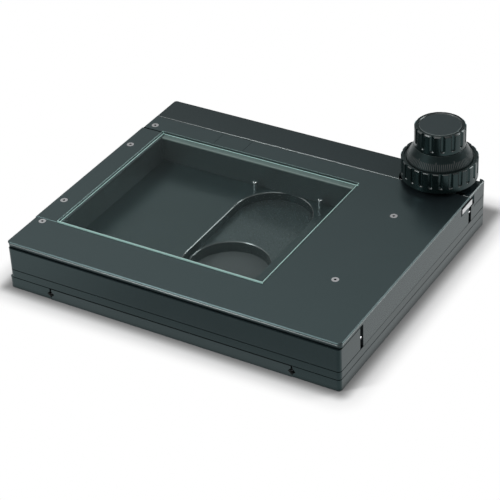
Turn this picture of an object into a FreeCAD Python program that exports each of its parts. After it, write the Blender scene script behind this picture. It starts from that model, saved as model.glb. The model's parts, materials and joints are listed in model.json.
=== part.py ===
import FreeCAD, Part
import math
import os

# A mechanical microscope stage: a base plate, a carriage that slides front to back on it,
# a specimen frame that slides left to right on the carriage, and a coaxial pair of knobs
# that drives both through racks and pinions.
# Millimetres. The origin is the centre of the light hole on the underside, X runs to the
# right, Y to the rear and Z up.

# Driving dimensions
stage_half_width = 191.0
stage_front = -119.5
stage_rear = 203.5
base_thickness = 12.5
light_hole_radius = 42.0
slot_radius = 43.2
y_travel_front = 88.0
y_travel_rear = 12.0
x_travel_left = 32.0
well_side_wall = 30.35
post_x = 39.5
post_radius = 2.85
knob_inset_x = 44.5
knob_inset_y = 17.5
gear_module = 1.5
pinion_teeth = 16
pressure_angle = 20.0
roller_radius = 2.0
roller_length = 3.8
corner_radius = 4.0

# Thicknesses of the layers
side_rail_bottom = 0.8
layer_gap = 0.5
plate_thickness = 9.4
front_beam_height = 25.6
rear_beam_height = 14.6
rear_step_height = 18.4
lip_gap = 1.0
lip_thickness = 2.8
cover_thickness = 2.2
knob_float = 4.5
lower_knob_height = 23.0
lower_rim_depth = 1.5
dial_height = 15.0
upper_knob_height = 22.7

# Clearances shared by all pieces
overrun = 2.0
seat_gap = 0.05
seam_gap = 0.35
seam_bevel = 0.9
rim_bevel = 0.8
moving_gap = 0.3
running_gap = 0.06
backlash = 0.15

# Heights of the layers, from the bottom up
plate_bottom = base_thickness + layer_gap
plate_top = plate_bottom + plate_thickness
frame_bottom = plate_top + layer_gap
rear_beam_top = plate_top + rear_beam_height
rear_step_top = plate_top + rear_step_height
beam_top = plate_top + front_beam_height
frame_top = beam_top + lip_gap
cover_bottom = frame_top + lip_thickness
cover_top = cover_bottom + cover_thickness
knob_bottom = cover_top + knob_float
lower_knob_top = knob_bottom + lower_knob_height
dial_bottom = lower_knob_top - lower_rim_depth + moving_gap
dial_top = dial_bottom + dial_height
stage_top = dial_top + upper_knob_height

# The light well reaches the left wall of the frame, and its travel to the right ends there
well_left = well_side_wall - stage_half_width
x_travel_right = -well_left - post_x - post_radius - moving_gap

# The knob axis and the pitch lines of the two racks beside it
pitch_radius = gear_module * pinion_teeth / 2
knob_x = stage_half_width - knob_inset_x
knob_y = stage_rear - knob_inset_y
y_pitch_line = knob_x - pitch_radius
x_pitch_line = knob_y - pitch_radius
stage_middle_y = (stage_front + stage_rear) / 2
stage_length = stage_rear - stage_front

# Roller guides
rail_back = 7.0
rail_face = 1.0
roller_gap = 0.03
side_rail_width = 52.0
y_guide_x = stage_half_width - side_rail_width
y_guide_z = 6.7
y_rail_height = 8.0
x_guide_mouth = 3.1
front_beam_depth = 40.6
rear_beam_depth = 34.6
x_guide_front_y = stage_front + front_beam_depth + x_guide_mouth
x_guide_rear_y = stage_rear - rear_beam_depth - x_guide_mouth
x_guide_height = 12.4
x_guide_z = plate_top + x_guide_height
x_rail_height = 11.0
rail_end_wall = 3.0
rail_end_room = 2.0

# Full turn and right angle in degrees
full_turn = 360.0
quarter_turn = 90.0
eighth_turn = 45.0

AXIS_X = FreeCAD.Vector(1, 0, 0)
AXIS_Y = FreeCAD.Vector(0, 1, 0)
AXIS_Z = FreeCAD.Vector(0, 0, 1)
ORIGIN = FreeCAD.Vector(0, 0, 0)


# Small builders

def vec(x, y, z):
    return FreeCAD.Vector(x, y, z)


def block(x0, x1, y0, y1, z0, z1):
    return Part.makeBox(x1 - x0, y1 - y0, z1 - z0, vec(x0, y0, z0))


def rod(x, y, z0, z1, radius):
    return Part.makeCylinder(radius, z1 - z0, vec(x, y, z0), AXIS_Z)


def prism(points, direction):
    face = Part.Face(Part.makePolygon(points + [points[0]]))
    return face.extrude(direction)


def revolve_profile(x, y, profile):
    # The profile is a closed list of (radius, height) points.
    points = [vec(radius, 0, height) for radius, height in profile]
    face = Part.Face(Part.makePolygon(points + [points[0]]))
    solid = face.revolve(ORIGIN, AXIS_Z, full_turn)
    solid.translate(vec(x, y, 0))
    return solid


def upright_edges(shape, corners):
    found = []
    for edge in shape.Edges:
        first, last = edge.Vertexes[0].Point, edge.Vertexes[-1].Point
        level = abs(first.x - last.x) < seat_gap and abs(first.y - last.y) < seat_gap
        for x, y in corners:
            near = abs(first.x - x) < seat_gap and abs(first.y - y) < seat_gap
            if level and near and edge not in found:
                found.append(edge)
    return found


def rounded_block(x0, x1, y0, y1, z0, z1, corners):
    # corners lists the (x, y) places of the upright edges to round.
    body = block(x0, x1, y0, y1, z0, z1)
    return body.makeFillet(corner_radius, upright_edges(body, corners))


def chamfer_level_edges(shape, height, size, side):
    # Bevels the level edges at one height whose middle passes the test named side.
    edges = []
    for edge in shape.Edges:
        level = all(abs(vertex.Z - height) < seat_gap for vertex in edge.Vertexes)
        if level and side(edge.CenterOfMass):
            edges.append(edge)
    return shape.makeChamfer(size, edges)


def all_round(point):
    return True


def export_node(name, solids):
    if not isinstance(solids, list):
        solids = [solids]
    parts = [piece for solid in solids for piece in solid.Solids]
    shape = parts[0] if len(parts) == 1 else Part.makeCompound(parts)
    shape.exportStep(os.path.join("parts", name + ".step"))


# Screws

cap_head_share = 1.6
socket_share = 0.5
socket_depth_share = 0.5
flat_socket_share = 0.38
hex_sides = 6
screw_clearance = 0.25
tap_gap = 0.05


def hex_socket(radius, depth):
    points = []
    for index in range(hex_sides):
        angle = math.radians(index * full_turn / hex_sides)
        points.append(vec(radius * math.cos(angle), radius * math.sin(angle), 0))
    return prism(points, vec(0, 0, depth))


def cap_screw(x, y, seat_z, shank_radius, shank_length, head_height, up):
    # up is 1 for a screw put in from above and -1 for one from below.
    head_radius = shank_radius * cap_head_share
    head = rod(0, 0, 0, head_height, head_radius)
    shank = rod(0, 0, -shank_length, 0, shank_radius)
    socket = hex_socket(shank_radius, head_height)
    socket.translate(vec(0, 0, head_height * (1 - socket_depth_share)))
    screw = head.fuse(shank).cut(socket)
    if up < 0:
        screw.rotate(ORIGIN, AXIS_X, full_turn / 2)
    screw.translate(vec(x, y, seat_z))
    return screw


def cap_screw_room(x, y, seat_z, shank_radius, shank_length, mouth_z, up):
    # The counterbore and hole that one cap screw needs.
    head_room = shank_radius * cap_head_share + screw_clearance
    mouth = rod(x, y, min(seat_z, mouth_z), max(seat_z, mouth_z), head_room)
    tip = seat_z - up * (shank_length + screw_clearance)
    hole = rod(x, y, min(seat_z, tip), max(seat_z, tip), shank_radius + tap_gap)
    return mouth.fuse(hole)


def cut_all(body, tools):
    for tool in tools:
        body = body.cut(tool)
    return body


# Crossed-roller guides. Each rail is drawn lengthwise along X with its groove facing +Y
# and is then turned into place.

groove_depth = (roller_radius + roller_gap) / math.cos(math.radians(eighth_turn))
rail_screw_radius = 0.9
rail_screw_head = 1.4
rail_screw_length = 8.0
rail_screw_head_depth = 1.0
rail_screw_sink = groove_depth + tap_gap + rail_screw_head_depth
end_screw_head_radius = 2.8
end_screw_head_height = 1.5
end_screw_shank_radius = 0.9
end_screw_shank_length = 6.0
end_screw_back = 4.2
rail_screw_shares = (-0.4, 0.0, 0.4)


def guide_rail(length, height):
    # The rail stands behind its groove: its back is at -rail_back, its face at -rail_face.
    half = height / 2
    mouth = groove_depth - rail_face
    points = [
        vec(0, -rail_back, -half),
        vec(0, -rail_face, -half),
        vec(0, -rail_face, -mouth),
        vec(0, -groove_depth, 0),
        vec(0, -rail_face, mouth),
        vec(0, -rail_face, half),
        vec(0, -rail_back, half),
    ]
    rail = prism(points, vec(length, 0, 0))
    rail.translate(vec(-length / 2, 0, 0))
    for share in rail_screw_shares:
        hole = Part.makeCylinder(
            rail_screw_radius + tap_gap, rail_back, vec(share * length, 0, 0), -AXIS_Y)
        sink = Part.makeCylinder(
            rail_screw_head + tap_gap, rail_screw_sink, vec(share * length, 0, 0), -AXIS_Y)
        rail = rail.cut(hole).cut(sink)
    for end in (-1, 1):
        tapped = Part.makeCylinder(
            end_screw_shank_radius + tap_gap,
            end_screw_shank_length + screw_clearance,
            vec(end * length / 2, -end_screw_back, 0),
            AXIS_X * -end)
        rail = rail.cut(tapped)
    return rail


def rail_screw():
    # A flat-headed screw sunk below the bottom of the groove.
    head = Part.makeCylinder(
        rail_screw_head, rail_screw_head_depth, vec(0, -groove_depth - tap_gap, 0), -AXIS_Y)
    shank = Part.makeCylinder(
        rail_screw_radius, rail_screw_length, vec(0, -rail_screw_sink, 0), -AXIS_Y)
    return head.fuse(shank)


def rail_screws(length):
    screws = []
    for share in rail_screw_shares:
        screw = rail_screw()
        screw.translate(vec(share * length, 0, 0))
        screws.append(screw)
    return screws


def rail_screw_rooms(length):
    # Tapped holes behind the rail for its screws.
    rooms = []
    depth = rail_screw_sink + rail_screw_length + screw_clearance
    for share in rail_screw_shares:
        rooms.append(Part.makeCylinder(
            rail_screw_radius + tap_gap, depth, vec(share * length, 0, 0), -AXIS_Y))
    return rooms


def end_screws(length):
    screws = []
    for end in (-1, 1):
        place = vec(end * length / 2, -end_screw_back, 0)
        head = Part.makeCylinder(
            end_screw_head_radius, end_screw_head_height, place, AXIS_X * end)
        shank = Part.makeCylinder(
            end_screw_shank_radius, end_screw_shank_length, place, AXIS_X * -end)
        screws.append(head.fuse(shank))
    return screws


# Pins in the ends of the fixed guides that keep each cage from walking out
x_cage_stop_radius = 1.1
y_cage_stop_radius = 0.6
cage_stop_inset = 1.6
cage_stop_seat = 5.0
cage_stop_reach = rail_face - moving_gap

cage_thickness = 0.8
window_length = 4.6
window_height = 6.2
rollers_per_cage = 6


def roller_places(cage_length):
    pitch = cage_length / rollers_per_cage
    return [(index - (rollers_per_cage - 1) / 2) * pitch for index in range(rollers_per_cage)]


def roller_cage(cage_length, low, high):
    cage = block(
        -cage_length / 2, cage_length / 2, -cage_thickness / 2, cage_thickness / 2, low, high)
    for place in roller_places(cage_length):
        cage = cage.cut(block(
            place - window_length / 2, place + window_length / 2,
            -cage_thickness, cage_thickness,
            -window_height / 2, window_height / 2))
    return cage


def crossed_rollers(cage_length):
    # Neighbouring rollers lean to opposite sides, so the guide carries load both ways.
    rollers = []
    lean = eighth_turn
    for place in roller_places(cage_length):
        roller = rod(0, 0, -roller_length / 2, roller_length / 2, roller_radius)
        roller.rotate(ORIGIN, AXIS_X, lean)
        roller.translate(vec(place, 0, 0))
        rollers.append(roller)
        lean = -lean
    return rollers


def at_x_guide(shape, y, facing):
    # facing is 1 when the groove looks to the rear and -1 when it looks to the front.
    if facing < 0:
        shape.rotate(ORIGIN, AXIS_Z, full_turn / 2)
    shape.translate(vec(x_rail_centre, y, x_guide_z))
    return shape


def at_y_guide(shape, side, facing):
    # side is 1 for the right guide; facing is 1 when the groove looks to the right.
    shape.rotate(ORIGIN, AXIS_Z, -facing * quarter_turn)
    shape.translate(vec(side * y_guide_x, stage_middle_y, y_guide_z))
    return shape


# Lengths of the guides, from the pieces that hold them
y_pocket_length = stage_length - 2 * rail_end_wall
y_rail_length = y_pocket_length - 2 * rail_end_room
beam_left_inset = 3.4
beam_left = beam_left_inset - stage_half_width
x_rail_centre = (stage_half_width + beam_left) / 2
x_pocket_length = stage_half_width - beam_left - 2 * rail_end_wall
x_rail_length = x_pocket_length - 2 * rail_end_room
cage_margin = 22.0
y_cage_length = y_rail_length - max(y_travel_front, y_travel_rear) - cage_margin
x_cage_length = x_rail_length - max(x_travel_right, x_travel_left) - cage_margin
y_cage_low = -3.6
y_cage_high = 4.9
x_cage_half_height = 5.0


def x_rail_pocket(y, facing):
    # Room for one rail in the wall beside it, open towards the groove.
    back = y - facing * rail_back
    front = y
    return block(
        x_rail_centre - x_pocket_length / 2, x_rail_centre + x_pocket_length / 2,
        min(back, front), max(back, front),
        x_guide_z - x_rail_height / 2, x_guide_z + x_rail_height / 2)


def y_rail_pocket(side, facing):
    back = side * y_guide_x - facing * rail_back
    front = side * y_guide_x
    return block(
        min(back, front), max(back, front),
        stage_middle_y - y_pocket_length / 2, stage_middle_y + y_pocket_length / 2,
        y_guide_z - y_rail_height / 2, y_guide_z + y_rail_height / 2)


def x_cage_stops(radius):
    # The front pins stand in the front beam, the rear ones in the rear beam.
    pins = []
    length = x_guide_mouth + cage_stop_seat + cage_stop_reach
    for y, facing in ((x_guide_front_y, 1), (x_guide_rear_y, -1)):
        start = y - facing * (x_guide_mouth + cage_stop_seat)
        for x in (beam_left + cage_stop_inset, stage_half_width - cage_stop_inset):
            pins.append(Part.makeCylinder(
                radius, length, vec(x, start, x_guide_z), AXIS_Y * facing))
    return pins


def y_cage_stops(radius):
    pins = []
    length = notch_half + cage_stop_seat + cage_stop_reach
    for side in (-1, 1):
        start = side * (y_guide_x - notch_half - cage_stop_seat)
        for y in (stage_front + cage_stop_inset, stage_rear - cage_stop_inset):
            pins.append(Part.makeCylinder(
                radius, length, vec(start, y, y_guide_z), AXIS_X * side))
    return pins


# Base plate

guide_seam = 0.2
notch_half = 4.2
neck_half = 1.0
mounting_inset_x = 29.0
mounting_inset_y = 41.5
mounting_spacing_x = 2 * (y_guide_x - mounting_inset_x)
mounting_spacing_y = stage_length - 2 * mounting_inset_y
mounting_hole_radius = 2.5
mounting_hole_depth = 10.0


def mounting_places():
    places = []
    for across in (-1, 1):
        for along in (-1, 1):
            places.append((
                across * mounting_spacing_x / 2,
                stage_middle_y + along * mounting_spacing_y / 2))
    return places


def base_profile():
    # The flanks carry half of the notch seen at the ends of the roller guides.
    right = [
        (y_guide_x - guide_seam, 0),
        (y_guide_x - guide_seam, y_guide_z - notch_half + guide_seam),
        (y_guide_x - notch_half, y_guide_z),
        (y_guide_x - neck_half, y_guide_z + notch_half - neck_half),
        (y_guide_x - neck_half, base_thickness),
    ]
    left = [(-x, z) for x, z in reversed(right)]
    return [vec(x, stage_front, z) for x, z in right + left]


def base_plate():
    body = prism(base_profile(), vec(0, stage_length, 0))
    body = body.cut(rod(0, 0, -overrun, base_thickness + overrun, light_hole_radius))

    def on_hole(point):
        return abs(point.x) < seat_gap and abs(point.y) < light_hole_radius

    body = chamfer_level_edges(body, base_thickness, rim_bevel, on_hole)
    for x, y in mounting_places():
        body = body.cut(rod(x, y, -overrun, mounting_hole_depth, mounting_hole_radius))
    for side in (-1, 1):
        body = body.cut(y_rail_pocket(side, side))
        for room in rail_screw_rooms(y_rail_length):
            body = body.cut(at_y_guide(room, side, side))
    for place in y_rack_screw_places():
        body = body.cut(y_rack_screw_room(place))
    body = body.cut(rod(
        stop_pin_x, stop_pin_y, base_thickness - stop_pin_seat, base_thickness + overrun,
        stop_pin_radius + seat_gap))
    return cut_all(body, y_cage_stops(y_cage_stop_radius + seat_gap))


# Toothed racks. The basic tooth has straight flanks.

root_clearance_share = 0.25


def rack_teeth(first, last, pitch_line, tip_inset):
    # Outline points along the toothed edge from the last tooth to the first, measured as
    # (along, across); the teeth look towards larger across values.
    pitch = math.pi * gear_module
    tip = pitch_line + gear_module - tip_inset
    root = pitch_line - gear_module * (1 + root_clearance_share)
    slope = math.tan(math.radians(pressure_angle))
    half_tooth = pitch / 4 - backlash / 2
    half_tip = half_tooth - (tip - pitch_line) * slope
    half_root = half_tooth + (pitch_line - root) * slope
    points = []
    count = int((last - first) / pitch)
    centre = last - pitch / 2
    for index in range(count):
        middle = centre - index * pitch
        points += [
            (middle + half_root, root),
            (middle + half_tip, tip),
            (middle - half_tip, tip),
            (middle - half_root, root),
        ]
    return points, root


def pinion(x, y, z0, z1, bore, turn):
    # Each flank is a short involute arc drawn through three of its points.
    outer = pitch_radius + gear_module - backlash
    root = pitch_radius - gear_module * (1 + root_clearance_share)
    base = pitch_radius * math.cos(math.radians(pressure_angle))
    half_tooth = (math.pi * gear_module / 2 - backlash) / (2 * pitch_radius)
    flank = math.tan(math.radians(pressure_angle)) - math.radians(pressure_angle)

    def flank_point(radius):
        reach = math.sqrt(max(radius ** 2 / base ** 2 - 1, 0))
        return half_tooth + flank - (reach - math.atan(reach))

    rim = []
    for index in range(pinion_teeth):
        middle = math.radians(turn + index * full_turn / pinion_teeth)
        for radius, side in ((base, -1), (pitch_radius, -1), (outer, -1),
                             (outer, 1), (pitch_radius, 1), (base, 1)):
            angle = middle + side * flank_point(radius)
            rim.append((radius * math.cos(angle), radius * math.sin(angle)))
            if radius == base and side > 0:
                inner = middle + flank_point(base)
                gap = middle + math.radians(full_turn / pinion_teeth) - flank_point(base)
                rim.append((root * math.cos(inner), root * math.sin(inner)))
                rim.append((root * math.cos(gap), root * math.sin(gap)))
    points = [vec(x + px, y + py, z0) for px, py in rim]
    gear = prism(points, vec(0, 0, z1 - z0))
    return gear.cut(rod(x, y, z0 - overrun, z1 + overrun, bore))


# Front-to-back drive: the rack lies on the base, the pinion rolls along its right edge.

y_rack_width = 13.0
y_rack_height = 6.7
y_pinion_lift = 0.6
y_pinion_height = 5.8
rack_spare = 14.0
rack_setback = 0.5
y_rack_back_x = y_pitch_line - y_rack_width
y_rack_front = knob_y - y_travel_front - rack_spare
y_rack_rear = stage_rear - rack_setback
y_rack_top = base_thickness + y_rack_height
y_pinion_bottom = plate_bottom + y_pinion_lift
y_pinion_top = y_pinion_bottom + y_pinion_height
rack_screw_radius = 1.5
rack_screw_inset = 5.0
rack_screw_head = 2.5
y_rack_screw_length = 10.0
y_rack_screw_count = 3
rack_end_inset = 12.0


def spread(first, last, count):
    return [first + (last - first) * index / (count - 1) for index in range(count)]


def y_rack_screw_places():
    return spread(y_rack_front + rack_end_inset, y_rack_rear - rack_end_inset, y_rack_screw_count)


def y_rack_screw_room(place):
    seat = y_rack_top - rack_screw_head - seam_gap
    return cap_screw_room(
        y_rack_back_x + rack_screw_inset, place, seat, rack_screw_radius,
        y_rack_screw_length, y_rack_top + overrun, 1)


def y_rack():
    teeth, root = rack_teeth(y_rack_front, y_rack_rear, y_pitch_line, backlash)
    outline = [(y_rack_rear, root)] + teeth + [(y_rack_front, root)]
    outline += [(y_rack_front, y_rack_back_x), (y_rack_rear, y_rack_back_x)]
    points = [vec(across, along, base_thickness) for along, across in outline]
    rack = prism(points, vec(0, 0, y_rack_top - base_thickness))
    return cut_all(rack, [y_rack_screw_room(place) for place in y_rack_screw_places()])


def y_rack_screws():
    seat = y_rack_top - rack_screw_head - seam_gap
    return [
        cap_screw(y_rack_back_x + rack_screw_inset, place, seat, rack_screw_radius,
                  y_rack_screw_length, rack_screw_head, 1)
        for place in y_rack_screw_places()]


# Travel stop of the front-to-back slide: a pin in the base and a groove above it.

stop_pin_inset = 39.0
stop_pin_x = stop_pin_inset - y_guide_x
stop_pin_y = stage_middle_y
stop_pin_radius = 3.0
stop_pin_seat = 6.0
stop_groove_depth = 4.0
stop_groove_top = plate_bottom + stop_groove_depth
stop_pin_top = stop_groove_top - layer_gap


def y_stop_pin():
    return rod(stop_pin_x, stop_pin_y, base_thickness - stop_pin_seat, stop_pin_top,
               stop_pin_radius)


def long_slot(x, y0, y1, z0, z1, radius):
    middle = block(x - radius, x + radius, y0, y1, z0, z1)
    return middle.fuse([rod(x, y0, z0, z1, radius), rod(x, y1, z0, z1, radius)])


def stop_groove():
    reach = moving_gap
    return long_slot(
        stop_pin_x,
        stop_pin_y - y_travel_rear - reach, stop_pin_y + y_travel_front + reach,
        plate_bottom - overrun, stop_groove_top, stop_pin_radius + moving_gap)


def y_fixed_rails():
    return [at_y_guide(guide_rail(y_rail_length, y_rail_height), side, side)
            for side in (-1, 1)]


def y_moving_rails():
    return [at_y_guide(guide_rail(y_rail_length, y_rail_height), side, -side)
            for side in (-1, 1)]


def y_rail_end_screws(moving):
    found = []
    for side in (-1, 1):
        for screw in end_screws(y_rail_length):
            found.append(at_y_guide(screw, side, -side if moving else side))
    return found


def y_rail_screws(moving):
    found = []
    for side in (-1, 1):
        for screw in rail_screws(y_rail_length):
            found.append(at_y_guide(screw, side, -side if moving else side))
    return found


# Carriage

plate_left = beam_left
side_rail_left_inset = 1.4
side_rail_left = side_rail_left_inset - stage_half_width
rack_groove_gap = 0.6
rack_groove_top = y_rack_top + rack_groove_gap
rack_groove_front = y_rack_front - y_travel_rear - rack_groove_gap
pinion_gap = 1.1
pinion_room = pitch_radius + gear_module + pinion_gap
pinion_room_top = y_pinion_top + rack_groove_gap
bush_radius = 7.0
beam_screw_radius = 2.5
beam_screw_head = 5.0
beam_screw_seat = plate_bottom + beam_screw_head + moving_gap
front_screw_length = 16.0
rear_screw_length = 28.0
front_screw_inset = 19.5
rear_screw_inset = 11.5
beam_screw_end_inset = 27.6
right_screw_inset = 17.0
knob_to_screw = 66.5
front_screw_count = 5
rear_screw_count = 4
front_screw_y = stage_front + front_screw_inset
rear_screw_y = stage_rear - rear_screw_inset
side_screw_radius = 2.5
side_screw_head = 5.0
side_screw_length = 13.0
side_screw_inset = 23.0
side_screw_front_inset = 24.5
side_screw_rear_inset = 49.5
side_screw_count = 4
side_screw_seat = side_rail_bottom + side_screw_head + moving_gap
side_screw_x = stage_half_width - side_screw_inset
post_behind_slot = 34.5
post_y = y_travel_front + post_behind_slot
post_stem_radius = 2.0
post_stem_length = 6.0


def front_screw_xs():
    return spread(
        beam_left + beam_screw_end_inset, stage_half_width - beam_screw_end_inset,
        front_screw_count)


def rear_screw_xs():
    # The last screw stands to the right of the gears, the others to their left.
    left = spread(beam_left + beam_screw_end_inset, knob_x - knob_to_screw, rear_screw_count)
    return left + [stage_half_width - right_screw_inset]


def side_screw_ys():
    return spread(
        stage_front + side_screw_front_inset, stage_rear - side_screw_rear_inset,
        side_screw_count)


def outer_corners(left, right, front, rear):
    return [(left, front), (right, front), (left, rear), (right, rear)]


def carriage_plate():
    body = rounded_block(
        plate_left, stage_half_width, stage_front, stage_rear, plate_bottom, plate_top,
        outer_corners(plate_left, stage_half_width, stage_front, stage_rear))
    body = chamfer_level_edges(body, plate_bottom, seam_bevel, all_round)
    body = body.cut(long_slot(
        0, -y_travel_rear, y_travel_front, plate_bottom - overrun, plate_top + overrun, slot_radius))

    def on_slot(point):
        middle = (y_travel_front - y_travel_rear) / 2
        reach = (y_travel_front + y_travel_rear) / 2 + slot_radius
        return abs(point.x) < slot_radius + seat_gap and abs(point.y - middle) < reach

    body = chamfer_level_edges(body, plate_top, rim_bevel, on_slot)
    tip = y_pitch_line + gear_module
    body = body.cut(block(
        y_rack_back_x - rack_groove_gap, tip + rack_groove_gap,
        rack_groove_front, stage_rear + overrun,
        plate_bottom - overrun, rack_groove_top))
    body = body.cut(rod(knob_x, knob_y, plate_bottom - overrun, pinion_room_top, pinion_room))
    body = body.cut(rod(
        knob_x, knob_y, plate_bottom - overrun, plate_top + overrun, bush_radius + seat_gap))
    body = body.cut(stop_groove())
    for x, y in post_places():
        body = body.cut(rod(
            x, y, plate_top - post_stem_length - seam_gap, plate_top + overrun,
            post_stem_radius + tap_gap))
    return cut_all(body, beam_screw_rooms() + side_screw_rooms())


def post_places():
    return [(-post_x, post_y), (post_x, post_y)]


def beam_screw_rooms():
    rooms = []
    for xs, y, length in ((front_screw_xs(), front_screw_y, front_screw_length),
                          (rear_screw_xs(), rear_screw_y, rear_screw_length)):
        for x in xs:
            rooms.append(cap_screw_room(
                x, y, beam_screw_seat, beam_screw_radius, length,
                plate_bottom - overrun, -1))
    return rooms


def beam_screws():
    screws = []
    for xs, y, length in ((front_screw_xs(), front_screw_y, front_screw_length),
                          (rear_screw_xs(), rear_screw_y, rear_screw_length)):
        for x in xs:
            screws.append(cap_screw(
                x, y, beam_screw_seat, beam_screw_radius, length, beam_screw_head, -1))
    return screws


def side_screw_rooms():
    rooms = []
    for side in (-1, 1):
        for y in side_screw_ys():
            rooms.append(cap_screw_room(
                side * side_screw_x, y, side_screw_seat, side_screw_radius,
                side_screw_length, side_rail_bottom - overrun, -1))
    return rooms


def side_rail_screws():
    return [
        cap_screw(side * side_screw_x, y, side_screw_seat, side_screw_radius,
                  side_screw_length, side_screw_head, -1)
        for side in (-1, 1) for y in side_screw_ys()]


def side_rail(side, outer):
    points = [
        (y_guide_x + guide_seam, side_rail_bottom),
        (y_guide_x + guide_seam, y_guide_z - notch_half + guide_seam),
        (y_guide_x + notch_half, y_guide_z),
        (y_guide_x + neck_half, y_guide_z + notch_half - neck_half),
        (y_guide_x + neck_half, plate_bottom),
        (outer, plate_bottom),
        (outer, side_rail_bottom),
    ]
    outline = [vec(side * x, stage_front, z) for x, z in points]
    body = prism(outline, vec(0, stage_length, 0))
    corners = [(side * outer, stage_front), (side * outer, stage_rear)]
    body = body.makeFillet(corner_radius, upright_edges(body, corners))
    body = body.cut(y_rail_pocket(side, -side))
    for room in rail_screw_rooms(y_rail_length):
        body = body.cut(at_y_guide(room, side, -side))
    return cut_all(body, side_screw_rooms())


# Beams that carry the left-to-right guides

lower_knob_radius = 40.3

front_beam_rear = x_guide_front_y - x_guide_mouth
rear_beam_front = x_guide_rear_y + x_guide_mouth
rear_step_rear = x_pitch_line + gear_module
cover_body_front = rear_step_rear + moving_gap
lip_overhang = 1.3
lip_seam = 0.7
lip_rear = x_guide_rear_y - lip_overhang
cover_lip_front = lip_rear + lip_seam
cover_lip_thickness = 2.5
cover_lip_bottom = cover_top - cover_lip_thickness
rear_cover_inset = 1.0
rear_cover_left = rear_cover_inset - stage_half_width
recess_gap = 1.7
recess_depth = 4.0
recess_radius = lower_knob_radius + recess_gap
recess_floor = cover_top - recess_depth
gear_room_roof = 1.0
gear_room_top = recess_floor - gear_room_roof
edge_bevel = 1.0
fine_bevel = 0.4


def front_beam():
    corners = [(beam_left, stage_front), (stage_half_width, stage_front)]
    body = rounded_block(
        beam_left, stage_half_width, stage_front, front_beam_rear, plate_top, beam_top, corners)

    def on_outside(point):
        return point.y < front_beam_rear - seat_gap

    body = chamfer_level_edges(body, plate_top, seam_bevel, on_outside)
    body = body.cut(x_rail_pocket(x_guide_front_y, 1))
    for room in rail_screw_rooms(x_rail_length):
        body = body.cut(at_x_guide(room, x_guide_front_y, 1))
    return cut_all(body, beam_screw_rooms() + x_cage_stops(x_cage_stop_radius + seat_gap))


def rear_beam():
    corners = [(beam_left, stage_rear), (stage_half_width, stage_rear)]
    body = rounded_block(
        beam_left, stage_half_width, rear_beam_front, stage_rear, plate_top, rear_step_top,
        corners)

    def on_outside(point):
        return point.y > rear_beam_front + seat_gap

    body = chamfer_level_edges(body, plate_top, seam_bevel, on_outside)
    body = body.cut(block(
        beam_left - overrun, stage_half_width + overrun, rear_step_rear,
        stage_rear + overrun, rear_beam_top, rear_step_top + overrun))
    body = body.cut(rod(
        knob_x, knob_y, plate_top - overrun, rear_beam_top + overrun, bush_radius + seat_gap))
    body = body.cut(x_rail_pocket(x_guide_rear_y, -1))
    for room in rail_screw_rooms(x_rail_length):
        body = body.cut(at_x_guide(room, x_guide_rear_y, -1))
    return cut_all(body, beam_screw_rooms() + x_cage_stops(x_cage_stop_radius + seat_gap))


def rear_cover():
    corners = [(rear_cover_left, stage_rear), (stage_half_width, stage_rear)]
    body = rounded_block(
        rear_cover_left, stage_half_width, cover_lip_front, stage_rear, rear_beam_top,
        cover_top, corners)

    def on_outside(point):
        return point.y > cover_lip_front + seat_gap

    def on_front(point):
        return point.y < cover_lip_front + seat_gap

    body = chamfer_level_edges(body, cover_top, edge_bevel, on_outside)
    body = chamfer_level_edges(body, cover_top, fine_bevel, on_front)
    body = chamfer_level_edges(body, rear_beam_top, seam_bevel, on_outside)
    body = body.cut(block(
        rear_cover_left - overrun, stage_half_width + overrun, cover_lip_front - overrun,
        cover_body_front, rear_beam_top - overrun, cover_lip_bottom))
    body = body.cut(rod(knob_x, knob_y, recess_floor, cover_top + overrun, recess_radius))
    body = body.cut(rod(knob_x, knob_y, rear_beam_top - overrun, gear_room_top, pinion_room))
    body = body.cut(rod(
        knob_x, knob_y, rear_beam_top, recess_floor + overrun, bearing_radius + seat_gap))
    body = cut_all(body, [bearing_screw_room(place) for place in bearing_screw_places()])
    return cut_all(body, beam_screw_rooms())


def x_fixed_rails():
    return [
        at_x_guide(guide_rail(x_rail_length, x_rail_height), x_guide_front_y, 1),
        at_x_guide(guide_rail(x_rail_length, x_rail_height), x_guide_rear_y, -1)]


def x_moving_rails():
    return [
        at_x_guide(guide_rail(x_rail_length, x_rail_height), x_guide_front_y, -1),
        at_x_guide(guide_rail(x_rail_length, x_rail_height), x_guide_rear_y, 1)]


def x_rail_pieces(make, moving):
    found = []
    for y, facing in ((x_guide_front_y, 1), (x_guide_rear_y, -1)):
        for piece in make(x_rail_length):
            found.append(at_x_guide(piece, y, -facing if moving else facing))
    return found


# Stop posts on the carriage floor

post_height = 10.6
post_top = plate_top + post_height
post_bevel = 0.5
post_slot_width = 1.0
post_slot_depth = 1.5


def stop_posts():
    posts = []
    for x, y in post_places():
        head = revolve_profile(x, y, [
            (0, plate_top), (post_radius, plate_top), (post_radius, post_top - post_bevel),
            (post_radius - post_bevel, post_top), (0, post_top)])
        stem = rod(x, y, plate_top - post_stem_length, plate_top, post_stem_radius)
        slot = block(
            x - post_slot_width / 2, x + post_slot_width / 2,
            y - post_radius - overrun, y + post_radius + overrun,
            post_top - post_slot_depth, post_top + overrun)
        posts.append(head.fuse(stem).cut(slot))
    return posts


# Bearings of the coaxial drive

shaft_radius = 4.0
tube_radius = 7.0
bearing_radius = 12.0
bearing_flange = 20.0
bearing_flange_rear = 1.0
bearing_flange_thickness = 3.0
bearing_flange_top = recess_floor + bearing_flange_thickness
bearing_top = knob_bottom - layer_gap
bearing_screw_ring = 16.6
bearing_screw_radius = 1.25
bearing_screw_head = 2.0
bearing_screw_length = 7.0
bearing_screw_turns = (-22.0, 30.0, 150.0, 202.0)
lower_flange_radius = 10.0
lower_flange_thickness = 1.5
lower_flange_top = rear_beam_top + lower_flange_thickness
bearing_bevel = 0.6


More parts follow.
